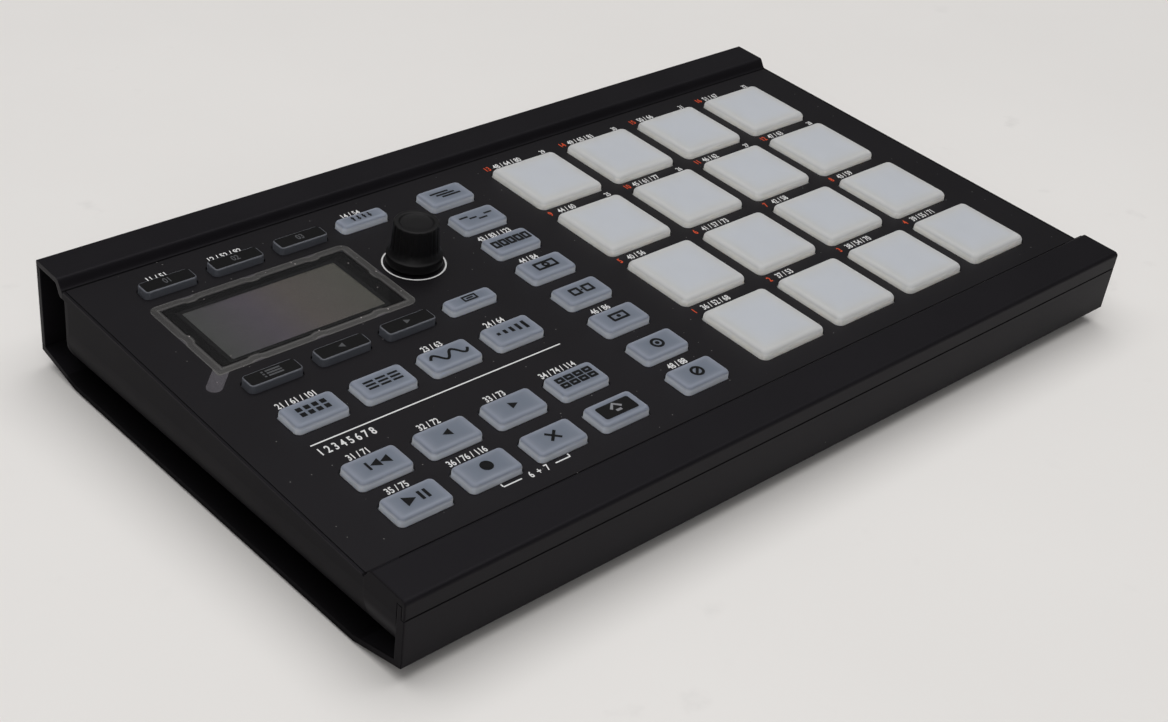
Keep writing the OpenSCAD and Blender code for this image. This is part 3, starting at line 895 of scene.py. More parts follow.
# Painted shade along the plate's front and rear edges.
PLATE_BLACK = MouldedPlastic(
    "faceplate_black", (0.0045, 0.0040, 0.0050), (0.0057, 0.0051, 0.0063),
    roughness=0.5, gloss=0.17, grain=0.22, depth=0.006, edge=0.15, dust=0.62, level=True, seams=True,
    sheen=(0.97, 0.93, 1.0),
)
KNOB_RUBBER = MouldedPlastic(
    "knob_rubber", (0.0036, 0.0034, 0.0039), (0.0049, 0.0046, 0.0052),
    roughness=0.46, gloss=0.2, grain=0.18, depth=0.006, edge=0.2, dust=0.7,
)
FOOT_RUBBER = MouldedPlastic(
    "foot_rubber", (0.0070, 0.0068, 0.0066), (0.0110, 0.0105, 0.0100),
    roughness=0.8, gloss=0.2, grain=0.5, depth=0.03,
)
SWITCH_WHITE = MouldedPlastic("switch_white", (0.62, 0.61, 0.56), (0.68, 0.67, 0.63), roughness=0.4)
SENSOR_AMBER = MouldedPlastic(
    "sensor_amber", (0.46, 0.27, 0.05), (0.55, 0.34, 0.08), roughness=0.3, grain=1.5,
)
SOCKET_BLACK = MouldedPlastic("socket_black", (0.010, 0.010, 0.010), (0.014, 0.014, 0.014))
# The milky finishes' wall colours, and the keys' edge colour, are painted light for the glow through the
# silicone.
PAD_MILK = MilkySilicone(
    "pad_milky", (0.512, 0.534, 0.574), (0.510, 0.514, 0.514), (0.92, 0.905, 0.865),
    glow=1.0, spread=6.0, gloss=0.12,
)
KEY_MILK = MilkySilicone(
    "key_milky", (0.166, 0.190, 0.235), (0.235, 0.258, 0.310), (0.70, 0.735, 0.80),
    glow=1.0, spread=2.0, gloss=0.15,
)
KEY_SMOKE = MilkySilicone(
    "key_dark", (0.100, 0.104, 0.118), (0.105, 0.110, 0.126), (0.090, 0.095, 0.111), glow=0.4,
)
WHITE_INK = Ink("white_print", (0.70, 0.70, 0.70), (0.40, 0.40, 0.41))
ORANGE_INK = Ink("orange_print", (0.60, 0.075, 0.025), (0.36, 0.050, 0.022))
DARK_INK = Ink("dark_legend", (0.0035, 0.0036, 0.0042), (0.009, 0.010, 0.012))
GREY_INK = Ink("grey_legend", (0.075, 0.077, 0.082), (0.045, 0.046, 0.050))
PALE_INK = Ink("pale_legend", (0.24, 0.245, 0.26), (0.14, 0.145, 0.155))
BLACK_PAINT = Ink(
    "black_key_paint", (0.0050, 0.0049, 0.0053), (0.0080, 0.0078, 0.0080), roughness=0.34,
)
BRIGHT_STEEL = Metal("bright_steel", (0.58, 0.57, 0.55))
CONTACT_GOLD = Metal("contact_gold", (0.70, 0.49, 0.19))
SMOKED_LENS = SmokedLens("lens_clear")
BOARD_GREEN = CircuitBoard("board_green")
FLOOR_PAPER = FloorPaper("floor_paper")


# Pieces


def add_mesh(
    name: str, points: np.ndarray, faces: Sequence[Sequence[int]], finish: Finish,
) -> bpy.types.Object:
    """Makes an object at the origin with its place in its mesh.

    Args:
        name: Name of the object and its mesh.
        points: Vertices in metres.
        faces: Index lists.
        finish: Its material.

    Returns:
        The object, linked to the scene.
    """
    mesh = bpy.data.meshes.new(name)
    mesh.from_pydata(points.tolist(), [], faces)
    mesh.materials.append(finish.material)
    piece = bpy.data.objects.new(name, mesh)
    bpy.context.scene.collection.objects.link(piece)
    return piece


def add_piece(
    name: str, shape: Shape, finish: Finish, body: str,
    slot: str | None = None, replaces: Sequence[str] = (), sharp: float = 35.0,
) -> bpy.types.Object:
    """Makes one visible piece and ties it to the frame.

    Args:
        name: Name of the piece.
        shape: Its surface, in the panel's frame.
        finish: Its material.
        body: CAD body that it moves with.
        slot: The record's material slot, where one fits. It is not used.
        replaces: CAD nodes that it stands for.
        sharp: Edges that turn by more than so many degrees stay sharp.

    Returns:
        The piece.
    """
    piece = add_mesh(name, PANEL.place(shape.points), shape.faces, finish)
    mesh = piece.data
    mesh.shade_smooth()
    mesh.set_sharp_from_angle(angle=math.radians(sharp))
    if shape.rim is not None:
        attribute = mesh.attributes.new("rim", "FLOAT", "POINT")
        attribute.data.foreach_set("value", shape.rim.astype(np.float32))
    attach(piece, body)
    if replaces:
        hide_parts(*replaces)
    log.info("piece %s on body %s: %d faces", name, body, len(shape.faces))
    return piece


def dress(node: str, finish: Finish) -> None:
    """Puts a finish on a CAD node and leaves its mesh as it is."""
    materials = frame["nodes"][node].data.materials
    materials.clear()
    materials.append(finish.material)
    log.info("node %s: %s", node, finish.name)


@dataclass
class Housing:
    """The CAD pieces that keep their own meshes.

    Attributes:
        finishes: Finish of each node.
    """

    finishes: dict[str, Finish] = field(default_factory=lambda: {
        "faceplate": PLATE_BLACK,
        "top_shell": CASE_BLACK,
        "bottom_shell": CASE_BLACK,
        "rear_panel": CASE_BLACK,
        "display_lens": SMOKED_LENS,
        "main_board": BOARD_GREEN,
        "pad_sensor_sheet": SENSOR_AMBER,
        "encoder_body": BRIGHT_STEEL,
        "encoder_shaft": BRIGHT_STEEL,
        "encoder_plunger": SWITCH_WHITE,
        "usb_socket": BRIGHT_STEEL,
        "rubber_feet": FOOT_RUBBER,
        "case_screws": BRIGHT_STEEL,
    })

    def build(self) -> None:
        """Gives each node its finish."""
        for node, finish in self.finishes.items():
            dress(node, finish)


@dataclass
class Cap:
    """The common form of keys and pads: a foot, a flange under the plate and a cap with soft edges.

    Attributes:
        foot: Half size of the foot that presses the switch or sensor.
        radius: Corner radius at the plate.
        edge_run: Width of the rounded upper edge.
        edge_drop: Height of the rounded upper edge.
        draft: How far the walls lean in from the plate to the edge.
        crown: How much higher the middle of the top is than its edge.
        flange_low: Underside of the flange.
        flange_top: Top of the flange.
        foot_r: Corner radius of the foot.
        corner_loss: How much the corner radius shrinks for each millimetre over the edge.
        corner_left: Least share of the corner radius that stays.
        edge_rim: The rim attribute where the rounded edge meets the top.
        edge_steps: Steps over the rounded edge.
        crown_steps: Steps from the top's edge to its middle.
        last_ring: Size of the innermost ring against the top's.
    """

    foot: float
    radius: float
    edge_run: float
    edge_drop: float
    draft: float
    crown: float
    flange_low: float = -2.3
    flange_top: float = -1.3
    foot_r: float = 0.3
    corner_loss: float = 0.55
    corner_left: float = 0.4
    edge_rim: float = 0.55
    edge_steps: int = 7
    crown_steps: int = 5
    last_ring: float = 0.06

    def shape(self, node: str) -> tuple[Shape, np.ndarray]:
        """Works a cap out from its CAD node.

        The wall leans in by the draft, the edge is a quarter of an ellipse, and the top rises by the crown
        times one less the square of the way out from its middle.

        Args:
            node: CAD node that it stands for.

        Returns:
            The shape, and the middle of its top face.
        """
        low, high = PANEL.extent(node)
        cap_low, cap_high = PANEL.extent(node, above=CAP_START)
        half = (cap_high - cap_low)[:2] / 2
        spread = (high - low)[:2] / 2
        middle = (low + high)[:2] / 2
        turn = np.linspace(0, math.pi / 2, self.edge_steps + 1)
        edge_in = self.draft + self.edge_run * (1 - np.cos(turn))
        rim_height = high[2] - self.crown
        edge_height = rim_height - self.edge_drop * (1 - np.sin(turn))
        way = np.linspace(1, self.last_ring, self.crown_steps + 1)[1:]
        plateau = half - self.draft - self.edge_run
        halves = np.concatenate([
            np.full((2, 2), self.foot), np.tile(spread, (2, 1)), half[None],
            half - edge_in[:, None], way[:, None] * plateau,
        ])
        heights = np.concatenate([
            [low[2], self.flange_low, self.flange_low, self.flange_top, self.flange_top],
            edge_height, rim_height + self.crown * (1 - way**2),
        ])
        flange_r = self.radius + spread[0] - half[0]
        shrunk_r = self.radius - self.corner_loss * (edge_in - self.draft)
        top_r = np.maximum(shrunk_r, self.corner_left * self.radius)
        below_r = [self.foot_r, self.foot_r, flange_r, flange_r, self.radius]
        radii = np.concatenate([below_r, top_r, way * top_r[-1]])
        edge_fall = 1 - (1 - self.edge_rim) * turn / turn[-1]
        rim = np.concatenate([np.ones(len(below_r)), edge_fall, self.edge_rim * way**5])
        shape = loft(stacked(halves, radii, heights), rim).moved(*middle)
        return shape, np.array([*middle, rim_height])


class PadGrid:
    """The sixteen drum pads."""

    def build(self) -> None:
        """Stands a soft-edged pad for each CAD pad."""
        cap = Cap(foot=11.7, radius=2.2, edge_run=2.2, edge_drop=1.9, draft=0.12, crown=0.12)
        for number in range(1, PAD_COUNT + 1):
            node = f"pad_{number}"
            shape, _ = cap.shape(node)
            add_piece(f"{node}_cap", shape, PAD_MILK, node, "pad_milky", [node], sharp=CAP_SHARP)


class Legend(Enum):
    """Generic signs on the keys."""

    ONE = "01"
    TWO = "02"
    THREE = "03"
    SLIDERS = "sliders"
    LIST = "list"
    BACK = "back"
    ON = "on"
    WINDOW = "window"
    FOUR_UP = "four up"
    STACK = "stack"
    WAVE = "wave"
    REPEAT = "repeat"
    TO_START = "to start"
    GRID = "grid"
    PLAY = "play"
    RECORD = "record"
    CROSS = "cross"
    UP = "up"
    LAYERS = "layers"
    ROLL = "roll"
    NOTES = "notes"
    EYE = "eye"
    TWINS = "twins"
    SQUARE = "square"
    TARGET = "target"
    SLASH = "slash"


@dataclass
class Pen:
    """Draws flat signs as thin raised shapes.

    Attributes:
        low: Height of the face that carries the ink.
        high: Height of the ink's own face.
        line: Width of a line.
    """

    low: float
    high: float
    line: float = 0.7

    def box(self, u: float, v: float, w: float, d: float, r: float = 0.08) -> Shape:
        """Returns a filled rectangle about a point."""
        return prism(rounded(w / 2, d / 2, r), self.low, self.high).moved(u, v)

    def frame(self, u: float, v: float, w: float, d: float, r: float = 0.25) -> Shape:
        """Returns the outline of a rectangle about a point."""
        t = self.line
        inner = rounded(w / 2 - t, d / 2 - t, max(r - t, 0.05))
        return hollow(rounded(w / 2, d / 2, r), inner, self.low, self.high).moved(u, v)

    def disc(self, u: float, v: float, radius: float) -> Shape:
        """Returns a filled circle."""
        return prism(circle(radius), self.low, self.high).moved(u, v)

    def ring(self, u: float, v: float, radius: float, line: float | None = None) -> Shape:
        """Returns a ring of the given outer radius."""
        steps = 72
        inner = circle(radius - (line or self.line), steps)
        return hollow(circle(radius, steps), inner, self.low, self.high).moved(u, v)

    def triangle(self, u: float, v: float, size: float, way: float) -> Shape:
        """Returns a triangle that points towards u when way is 1 and back when it is -1."""
        points = np.array([[-0.42, -0.5], [0.5, 0.0], [-0.42, 0.5]]) * size
        points = points if way > 0 else (points * np.array([-1, 1]))[::-1]
        return prism(points, self.low, self.high).moved(u, v)

    def path(self, points: Sequence[Sequence[float]]) -> Shape:
        """Returns a line along an open path."""
        return stroke(np.array(points, float), self.line, self.low, self.high)

    def digits(self, text: str, u: float, v: float, height: float, align: str = "CENTER") -> Shape:
        """Returns plain numerals that stand on v."""
        return lettering(text, height, self.low, self.high, align=align).moved(u, v)

    @staticmethod
    def row(count: int, pitch: float) -> list[float]:
        """Returns so many places in a row about zero."""
        return [(index - (count - 1) / 2) * pitch for index in range(count)]

    def sign(self, legend: Legend, scale: float) -> Shape:
        """Returns one of the generic signs, about 3 mm high before it is scaled, about zero."""
        match legend:
            case Legend.ONE | Legend.TWO | Legend.THREE:
                parts = [self.digits(legend.value, 0, -1.4, 2.8)]
            case Legend.SLIDERS:
                end, gap = 1.3, 0.35
                spots = list(zip(self.row(4, 2.2), (0.5, -0.6, 0.1, -0.3)))
                parts = [self.box(u, (end + v + gap) / 2, self.line, end - v - gap) for u, v in spots]
                parts += [self.box(u, v, 1.3, 0.55) for u, v in spots]
                parts += [self.box(u, (v - gap - end) / 2, self.line, v - gap + end) for u, v in spots]
            case Legend.LIST:
                parts = [self.box(0.8, v, 5.2, self.line) for v in self.row(3, 1.2)]
                parts += [self.box(-2.9, v, 0.7, self.line) for v in self.row(3, 1.2)]
            case Legend.BACK | Legend.ON:
                parts = [self.triangle(0, 0, 2.3, 1 if legend is Legend.ON else -1)]
            case Legend.WINDOW:
                parts = [self.frame(0, 0, 5.6, 2.9), self.box(0, 0, 2.6, self.line)]
            case Legend.FOUR_UP:
                parts = [self.box(u, v, 1.35, 1.35) for u in self.row(4, 2.0) for v in self.row(2, 1.85)]
            case Legend.STACK:
                parts = [self.box(u, v, 2.6, 0.62) for u in self.row(3, 3.2) for v in self.row(3, 1.15)]
            case Legend.WAVE:
                u = np.linspace(-5, 5, 61)
                parts = [self.path(np.stack([u, 1.25 * np.sin(u * math.tau / 5)], axis=1))]
            case Legend.REPEAT:
                bars = enumerate(self.row(5, 1.9))
                parts = [self.box(u, 0, 0.9, 0.9 + 0.5 * index) for index, u in bars]
            case Legend.TO_START:
                parts = [self.box(-2.1, 0, 0.6, 2.6)]
                parts += [self.triangle(u, 0, 2.6, -1) for u in (-0.3, 2.1)]
            case Legend.GRID:
                parts = [self.frame(u, v, 2.3, 1.8) for u in self.row(4, 2.6) for v in self.row(2, 2.1)]
            case Legend.PLAY:
                parts = [self.triangle(-1.5, 0, 3.0, 1)]
                parts += [self.box(u, 0, 0.75, 2.7) for u in (1.2, 2.6)]
            case Legend.RECORD:
                parts = [self.disc(0, 0, 1.5)]
            case Legend.CROSS:
                arm, gap = 1.35, 0.25
                lines = (((-arm, -arm), (arm, arm)), ((-arm, arm), (-gap, gap)), ((gap, -gap), (arm, -arm)))
                parts = [self.path(line) for line in lines]
            case Legend.UP:
                parts = [self.path([(-1.5, -0.1), (0, 1.4), (1.5, -0.1)]), self.box(0, -0.95, 1.5, 0.7)]
            case Legend.LAYERS:
                spots = ((-1.2, 1.05), (0, 0), (1.2, -1.05))
                parts = [self.box(u, v, 5.6, 0.62) for u, v in spots]
            case Legend.ROLL:
                spots = ((-3.6, 1.05, 2.6), (-1.4, 0, 2.2), (1.0, -1.05, 2.6), (3.4, 0.35, 2.4))
                parts = [self.box(u, v, w, 0.6) for u, v, w in spots]
            case Legend.NOTES:
                parts = [self.frame(u, 0, 2.1, 2.9) for u in self.row(5, 2.3)]
            case Legend.EYE:
                parts = [self.frame(0, 0, 6.4, 3.1), self.ring(0, 0, 1.05)]
            case Legend.TWINS:
                parts = [self.frame(u, 0, 2.9, 2.9) for u in (-1.9, 1.9)] + [self.box(0, 0, 0.5, 0.5)]
            case Legend.SQUARE:
                parts = [self.frame(0, 0, 5.0, 2.9), self.disc(0, 0, 0.55)]
            case Legend.TARGET:
                parts = [self.ring(0, 0, 1.75), self.disc(0, 0, 0.55)]
            case Legend.SLASH:
                parts = [self.ring(0, 0, 1.75), self.path([(-0.8, -0.8), (0.8, 0.8)])]
        shape = joined(parts)
        return Shape(shape.points * np.array([scale, scale, 1.0]), shape.faces)


class Tone(Enum):
    """How a key is made: plain milky, smoked with a painted top, or milky with a painted patch."""

    MILKY = "milky"
    SMOKED = "smoked"
    PATCHED = "patched"


@dataclass
class Keypad:
    """The twenty-eight keys with their painted tops and legends.

    Attributes:
        ink: Thickness of one layer of paint or ink.
        edge: Width and height of a milky key's rounded upper edge.
        painted_edge: The same of a smoked key, whose paint ends where the edge begins to fall.
        draft: How far a key's walls lean in.
        smoked: How many keys of each slim group are smoked.
        patch: Half width and half depth of the painted patch.
        paint_r: Corner radius of the paint.
        slim: Depth up to which a key counts as a slim one.
        sign_scale: Size of a sign on a full key against that on a slim one.
        sign_rise: How far a sign stands behind its key's middle.
        legends: Signs of each group's keys, in order.
    """

    ink: float = 0.03
    edge: tuple[float, float] = (1.15, 1.2)
    painted_edge: tuple[float, float] = (0.5, 0.45)
    draft: float = 0.12
    smoked: int = 3
    patch: tuple[float, float] = (6.6, 3.0)
    paint_r: float = 0.8
    slim: float = 8.0
    sign_scale: float = 1.4
    sign_rise: float = 0.3
    legends: dict[str, Sequence[Legend]] = field(default_factory=lambda: {
        "soft_key": (Legend.ONE, Legend.TWO, Legend.THREE, Legend.SLIDERS),
        "menu_key": (Legend.LIST, Legend.BACK, Legend.ON, Legend.WINDOW),
        "mode_key": (Legend.FOUR_UP, Legend.STACK, Legend.WAVE, Legend.REPEAT),
        "transport_key": (
            Legend.TO_START, Legend.BACK, Legend.ON, Legend.GRID,
            Legend.PLAY, Legend.RECORD, Legend.CROSS, Legend.UP,
        ),
        "side_key": (
            Legend.LAYERS, Legend.ROLL, Legend.NOTES, Legend.EYE,
            Legend.TWINS, Legend.SQUARE, Legend.TARGET, Legend.SLASH,
        ),
    })

    def tone(self, group: str, number: int) -> Tone:
        """Returns how a key of a group is made."""
        if group in ("soft_key", "menu_key") and number <= self.smoked:
            return Tone.SMOKED
        return Tone.PATCHED if (group, number) == ("transport_key", 8) else Tone.MILKY

    def build(self) -> None:
        """Makes every key of every group."""
        for group, legends in self.legends.items():
            for number, legend in enumerate(legends, start=1):
                self.build_key(f"{group}_{number}", self.tone(group, number), legend)

    def build_key(self, node: str, tone: Tone, legend: Legend) -> None:
        """Makes one key: its cap, its paint where it has any, and its legend.

        Args:
            node: CAD node that it stands for.
            tone: How it is made.
            legend: Its sign.
        """
        smoked = tone is Tone.SMOKED
        run, drop = self.painted_edge if smoked else self.edge
        cap = Cap(foot=2.0, radius=1.6, edge_run=run, edge_drop=drop, draft=self.draft, crown=0.0)
        shape, top = cap.shape(node)
        finish, slot = (KEY_SMOKE, "key_dark") if smoked else (KEY_MILK, "key_milky")
        add_piece(f"{node}_cap", shape, finish, node, slot, [node], sharp=CAP_SHARP)
        face = top[2]
        low, high = PANEL.extent(node, above=CAP_START)
        if tone is not Tone.MILKY:
            half = (high - low)[:2] / 2 - run - self.draft if smoked else np.array(self.patch)
            outline = rounded(*half, self.paint_r)
            paint = prism(outline, face, face + self.ink).moved(top[0], top[1])
            add_piece(f"{node}_paint", paint, BLACK_PAINT, node)
            face += self.ink
        scale = self.sign_scale if high[1] - low[1] > self.slim else 1.0
        sign = Pen(face, face + self.ink).sign(legend, scale).moved(top[0], top[1] + self.sign_rise)
        ink = {Tone.MILKY: DARK_INK, Tone.SMOKED: GREY_INK, Tone.PATCHED: PALE_INK}[tone]
        add_piece(f"{node}_legend", sign, ink, node)


@dataclass
class Knob:
    """The push encoder's knob: a skirt, a flare, a fluted grip and a dished top.

    Attributes:
        bore: Radius and roof of the wide bore over the bush.
        seat: Radius and roof of the bore that grips the shaft.
        skirt: Height of the skirt.
        flare: Height of the flare above the skirt.
        body: Radius of the grip at its foot and at its top.
        dish: Width of the rim round the dish, run of its slope and its depth.
        edge: Radius of the skirt's edges.
        shoulder: Radius round the top.
        flutes: Number of flutes round the grip.
        flute_depth: Depth of a flute.
        core: Radius of the innermost rings.
        around: Steps round the knob.
    """

    bore: tuple[float, float] = (4.7, 5.4)
    seat: tuple[float, float] = (3.02, 13.15)
    skirt: float = 3.4
    flare: float = 2.9
    body: tuple[float, float] = (7.95, 7.65)
    dish: tuple[float, float, float] = (1.6, 0.8, 0.5)
    edge: float = 0.4
    shoulder: float = 0.5
    flutes: int = 20
    flute_depth: float = 0.22
    core: float = 0.2
    around: int = 240

    def profile(self, skirt_r: float, low: float, top: float) -> np.ndarray:
        """Half section as rows of radius, height and flute share, from the bore's roof to the top's middle.

        Args:
            skirt_r: Radius of the skirt.
            low: Height of the skirt's underside.
            top: Height of the rim.

        Returns:
            The rows.
        """
        foot_r, head_r = self.body
        rim, run, deep = self.dish
        quarter = np.linspace(0, math.pi / 2, 7)
        skirt_top = low + self.skirt
        inner_r = skirt_r - self.edge
        under = np.array([inner_r, low + self.edge]) + self.edge * headings(quarter - math.pi / 2)
        over = np.array([inner_r, skirt_top - self.edge]) + self.edge * headings(quarter * 2 / 3)
        flare_r, flare_z = over[-1]
        grip_low = skirt_top + self.flare
        grip_high = top - self.shoulder
        blend = np.linspace(0, 1, 9)[1:-1]
        flare = np.stack([
            flare_r + (foot_r - flare_r) * np.sin(blend * math.pi / 2) ** 0.8,
            flare_z + (grip_low - flare_z) * blend ** 1.15,
        ], axis=1)
        grip = np.linspace([foot_r, grip_low], [head_r, grip_high], 10)
        crest = np.array([head_r - self.shoulder, grip_high]) + self.shoulder * headings(quarter[1:])
        slope = np.linspace(0, 1, 7)
        fall = deep * (1 - np.cos(slope * math.pi)) / 2
        dish = np.stack([head_r - rim - run * slope, top - fall], axis=1)
        floor = np.array([[2.0, top - deep], [self.core, top - deep]])
        seat_r, seat_roof = self.seat
        bore_r, bore_roof = self.bore
        inside = np.array([
            [self.core, seat_roof], [seat_r, seat_roof], [seat_r, bore_roof],
            [bore_r, bore_roof], [bore_r, low],
        ])
        rows = np.concatenate([inside, under, over, flare, grip, crest, dish, floor])
        fluted = np.concatenate([
            np.zeros(len(inside) + len(under) + len(over)), np.linspace(0, 1, len(flare)) ** 2,
            np.ones(len(grip)), np.cos(quarter[1:]) ** 0.7, np.zeros(len(dish) + len(floor)),
        ])
        return np.column_stack([rows, fluted])

    def build(self) -> None:
        """Turns the section and presses the flutes in: each radius loses the depth times its share."""
        low, high = PANEL.extent("encoder_knob")
        middle = (low + high) / 2
        rows = self.profile((high[0] - low[0]) / 2, low[2], high[2])
        angle = np.arange(self.around) * math.tau / self.around
        groove = np.abs(np.cos(angle * self.flutes / 2)) ** 0.5
        radius = rows[:, 0, None] - self.flute_depth * rows[:, 2, None] * (1 - groove)
        heights = np.broadcast_to(rows[:, 1, None], radius.shape)
        rings = np.stack([radius * np.cos(angle), radius * np.sin(angle), heights], axis=2)
        shape = loft(rings).moved(middle[0], middle[1])
        replaced = ["encoder_knob"]
        add_piece("knob_cap", shape, KNOB_RUBBER, "knob", "knob_rubber", replaced, sharp=55.0)


@dataclass
class Display:
    """The display behind its lens, with the printed mask and the protective film.

    Attributes:
        window: Half width and half depth of the clear window.
        mask: Lowest and highest level of the printed mask.
        film_r: Corner radius of the film.
        film_margin: How far the film reaches past the lens.
        tab: Half width and length of the film's pull tab.
        tab_inset: Distance of the tab's root from the film's edges.
        film_t: Thickness of the film.
    """

    window: tuple[float, float] = (28.5, 14.4)
    mask: tuple[float, float] = (-1.12, -1.02)
    film_r: float = 3.0
    film_margin: float = 3.4
    tab: tuple[float, float] = (2.5, 9.0)
    tab_inset: float = 2.0
    film_t: float = 0.12

    def film_outline(self, half: np.ndarray) -> np.ndarray:
        """Outline of the film: a rectangle with three round corners and a round-ended tab at the fourth.

        Args:
            half: Half width and half depth of the rectangle.

        Returns:
            Points, anticlockwise from the lower edge.
        """
        quarter = np.linspace(0, math.pi / 2, 10)
        outline = []
        for index, sign in enumerate(((1, -1), (1, 1), (-1, 1))):
            turn = headings(quarter + (index - 1) * math.pi / 2)
            outline.append((half - self.film_r) * np.array(sign) + self.film_r * turn)
        tab_half, tab_long = self.tab
        way = np.array([-1, -1]) / math.sqrt(2)
        aside = np.array([1, -1]) / math.sqrt(2)
        root = -half + self.tab_inset
        reach = self.tab_inset * math.sqrt(2) - tab_half
        outline.append((root - aside * tab_half + way * reach)[None])
        turn = np.linspace(math.pi, 0, 16)[:, None]
        outline.append(root + way * tab_long + tab_half * (aside * np.cos(turn) + way * np.sin(turn)))
        outline.append((root + aside * tab_half + way * reach)[None])
        return np.concatenate(outline)

    def build(self) -> None:
        """Dresses the glass and makes the mask and the film."""
        low, high = PANEL.extent("display_lens")
        middle = (low + high) / 2
        lens = (high - low)[:2] / 2
        centre = tuple(float(part) for part in PANEL.place(np.array([*middle[:2], 0.0])))
        dress("lcd_module", DisplayGlass("lcd_grey", centre, self.window[0]))
        mask = hollow(rounded(*lens, 1.0), rounded(*self.window, 0.4), *self.mask)
        add_piece("display_mask", mask.moved(middle[0], middle[1]), BLACK_PAINT, "case")
        film = ProtectiveFilm("film_clear", centre, (float(lens[0]), float(lens[1])))
        outline = self.film_outline(lens + self.film_margin)
        sheet = prism(outline, 0.0, self.film_t).moved(middle[0], middle[1])
        add_piece("film_sheet", sheet, film, "case", "film_clear", ["display_film"])


@dataclass
class Socket:
    """The insert of the data socket: a plastic tongue with a contact pair on each side.

    Attributes:
        tongue: Half width, length and half thickness of the tongue.
        inset: Distance of the tongue's end from the socket's mouth.
        contact: Half width, half length and thickness of a contact.
        pitch: Distance between the contacts of a pair.
    """

    tongue: tuple[float, float, float] = (2.86, 7.5, 1.66)
    inset: float = 1.44
    contact: tuple[float, float, float] = (0.5, 3.0, 0.06)
    pitch: float = 2.5

    def build(self) -> None:
        """Stands the tongue in the middle of the mouth and lays the contacts on it."""
        low, high = PANEL.extent("usb_socket")
        half_w, length, half_t = self.tongue
        u, w = (low[0] + high[0]) / 2, (low[2] + high[2]) / 2
        v = high[1] - self.inset - length / 2
        tongue = prism(rounded(half_w, length / 2, 0.4), w - half_t, w + half_t).moved(u, v)
        add_piece("socket_tongue", tongue, SOCKET_BLACK, "case")
        contact_w, contact_l, contact_t = self.contact
        outline = rounded(contact_w, contact_l, 0.2)
        levels = ((w + half_t, w + half_t + contact_t), (w - half_t - contact_t, w - half_t))
        pair = [u - self.pitch / 2, u + self.pitch / 2]
        contacts = joined(prism(outline, *level).moved(at, v) for level in levels for at in pair)
        add_piece("socket_contacts", contacts, CONTACT_GOLD, "case")


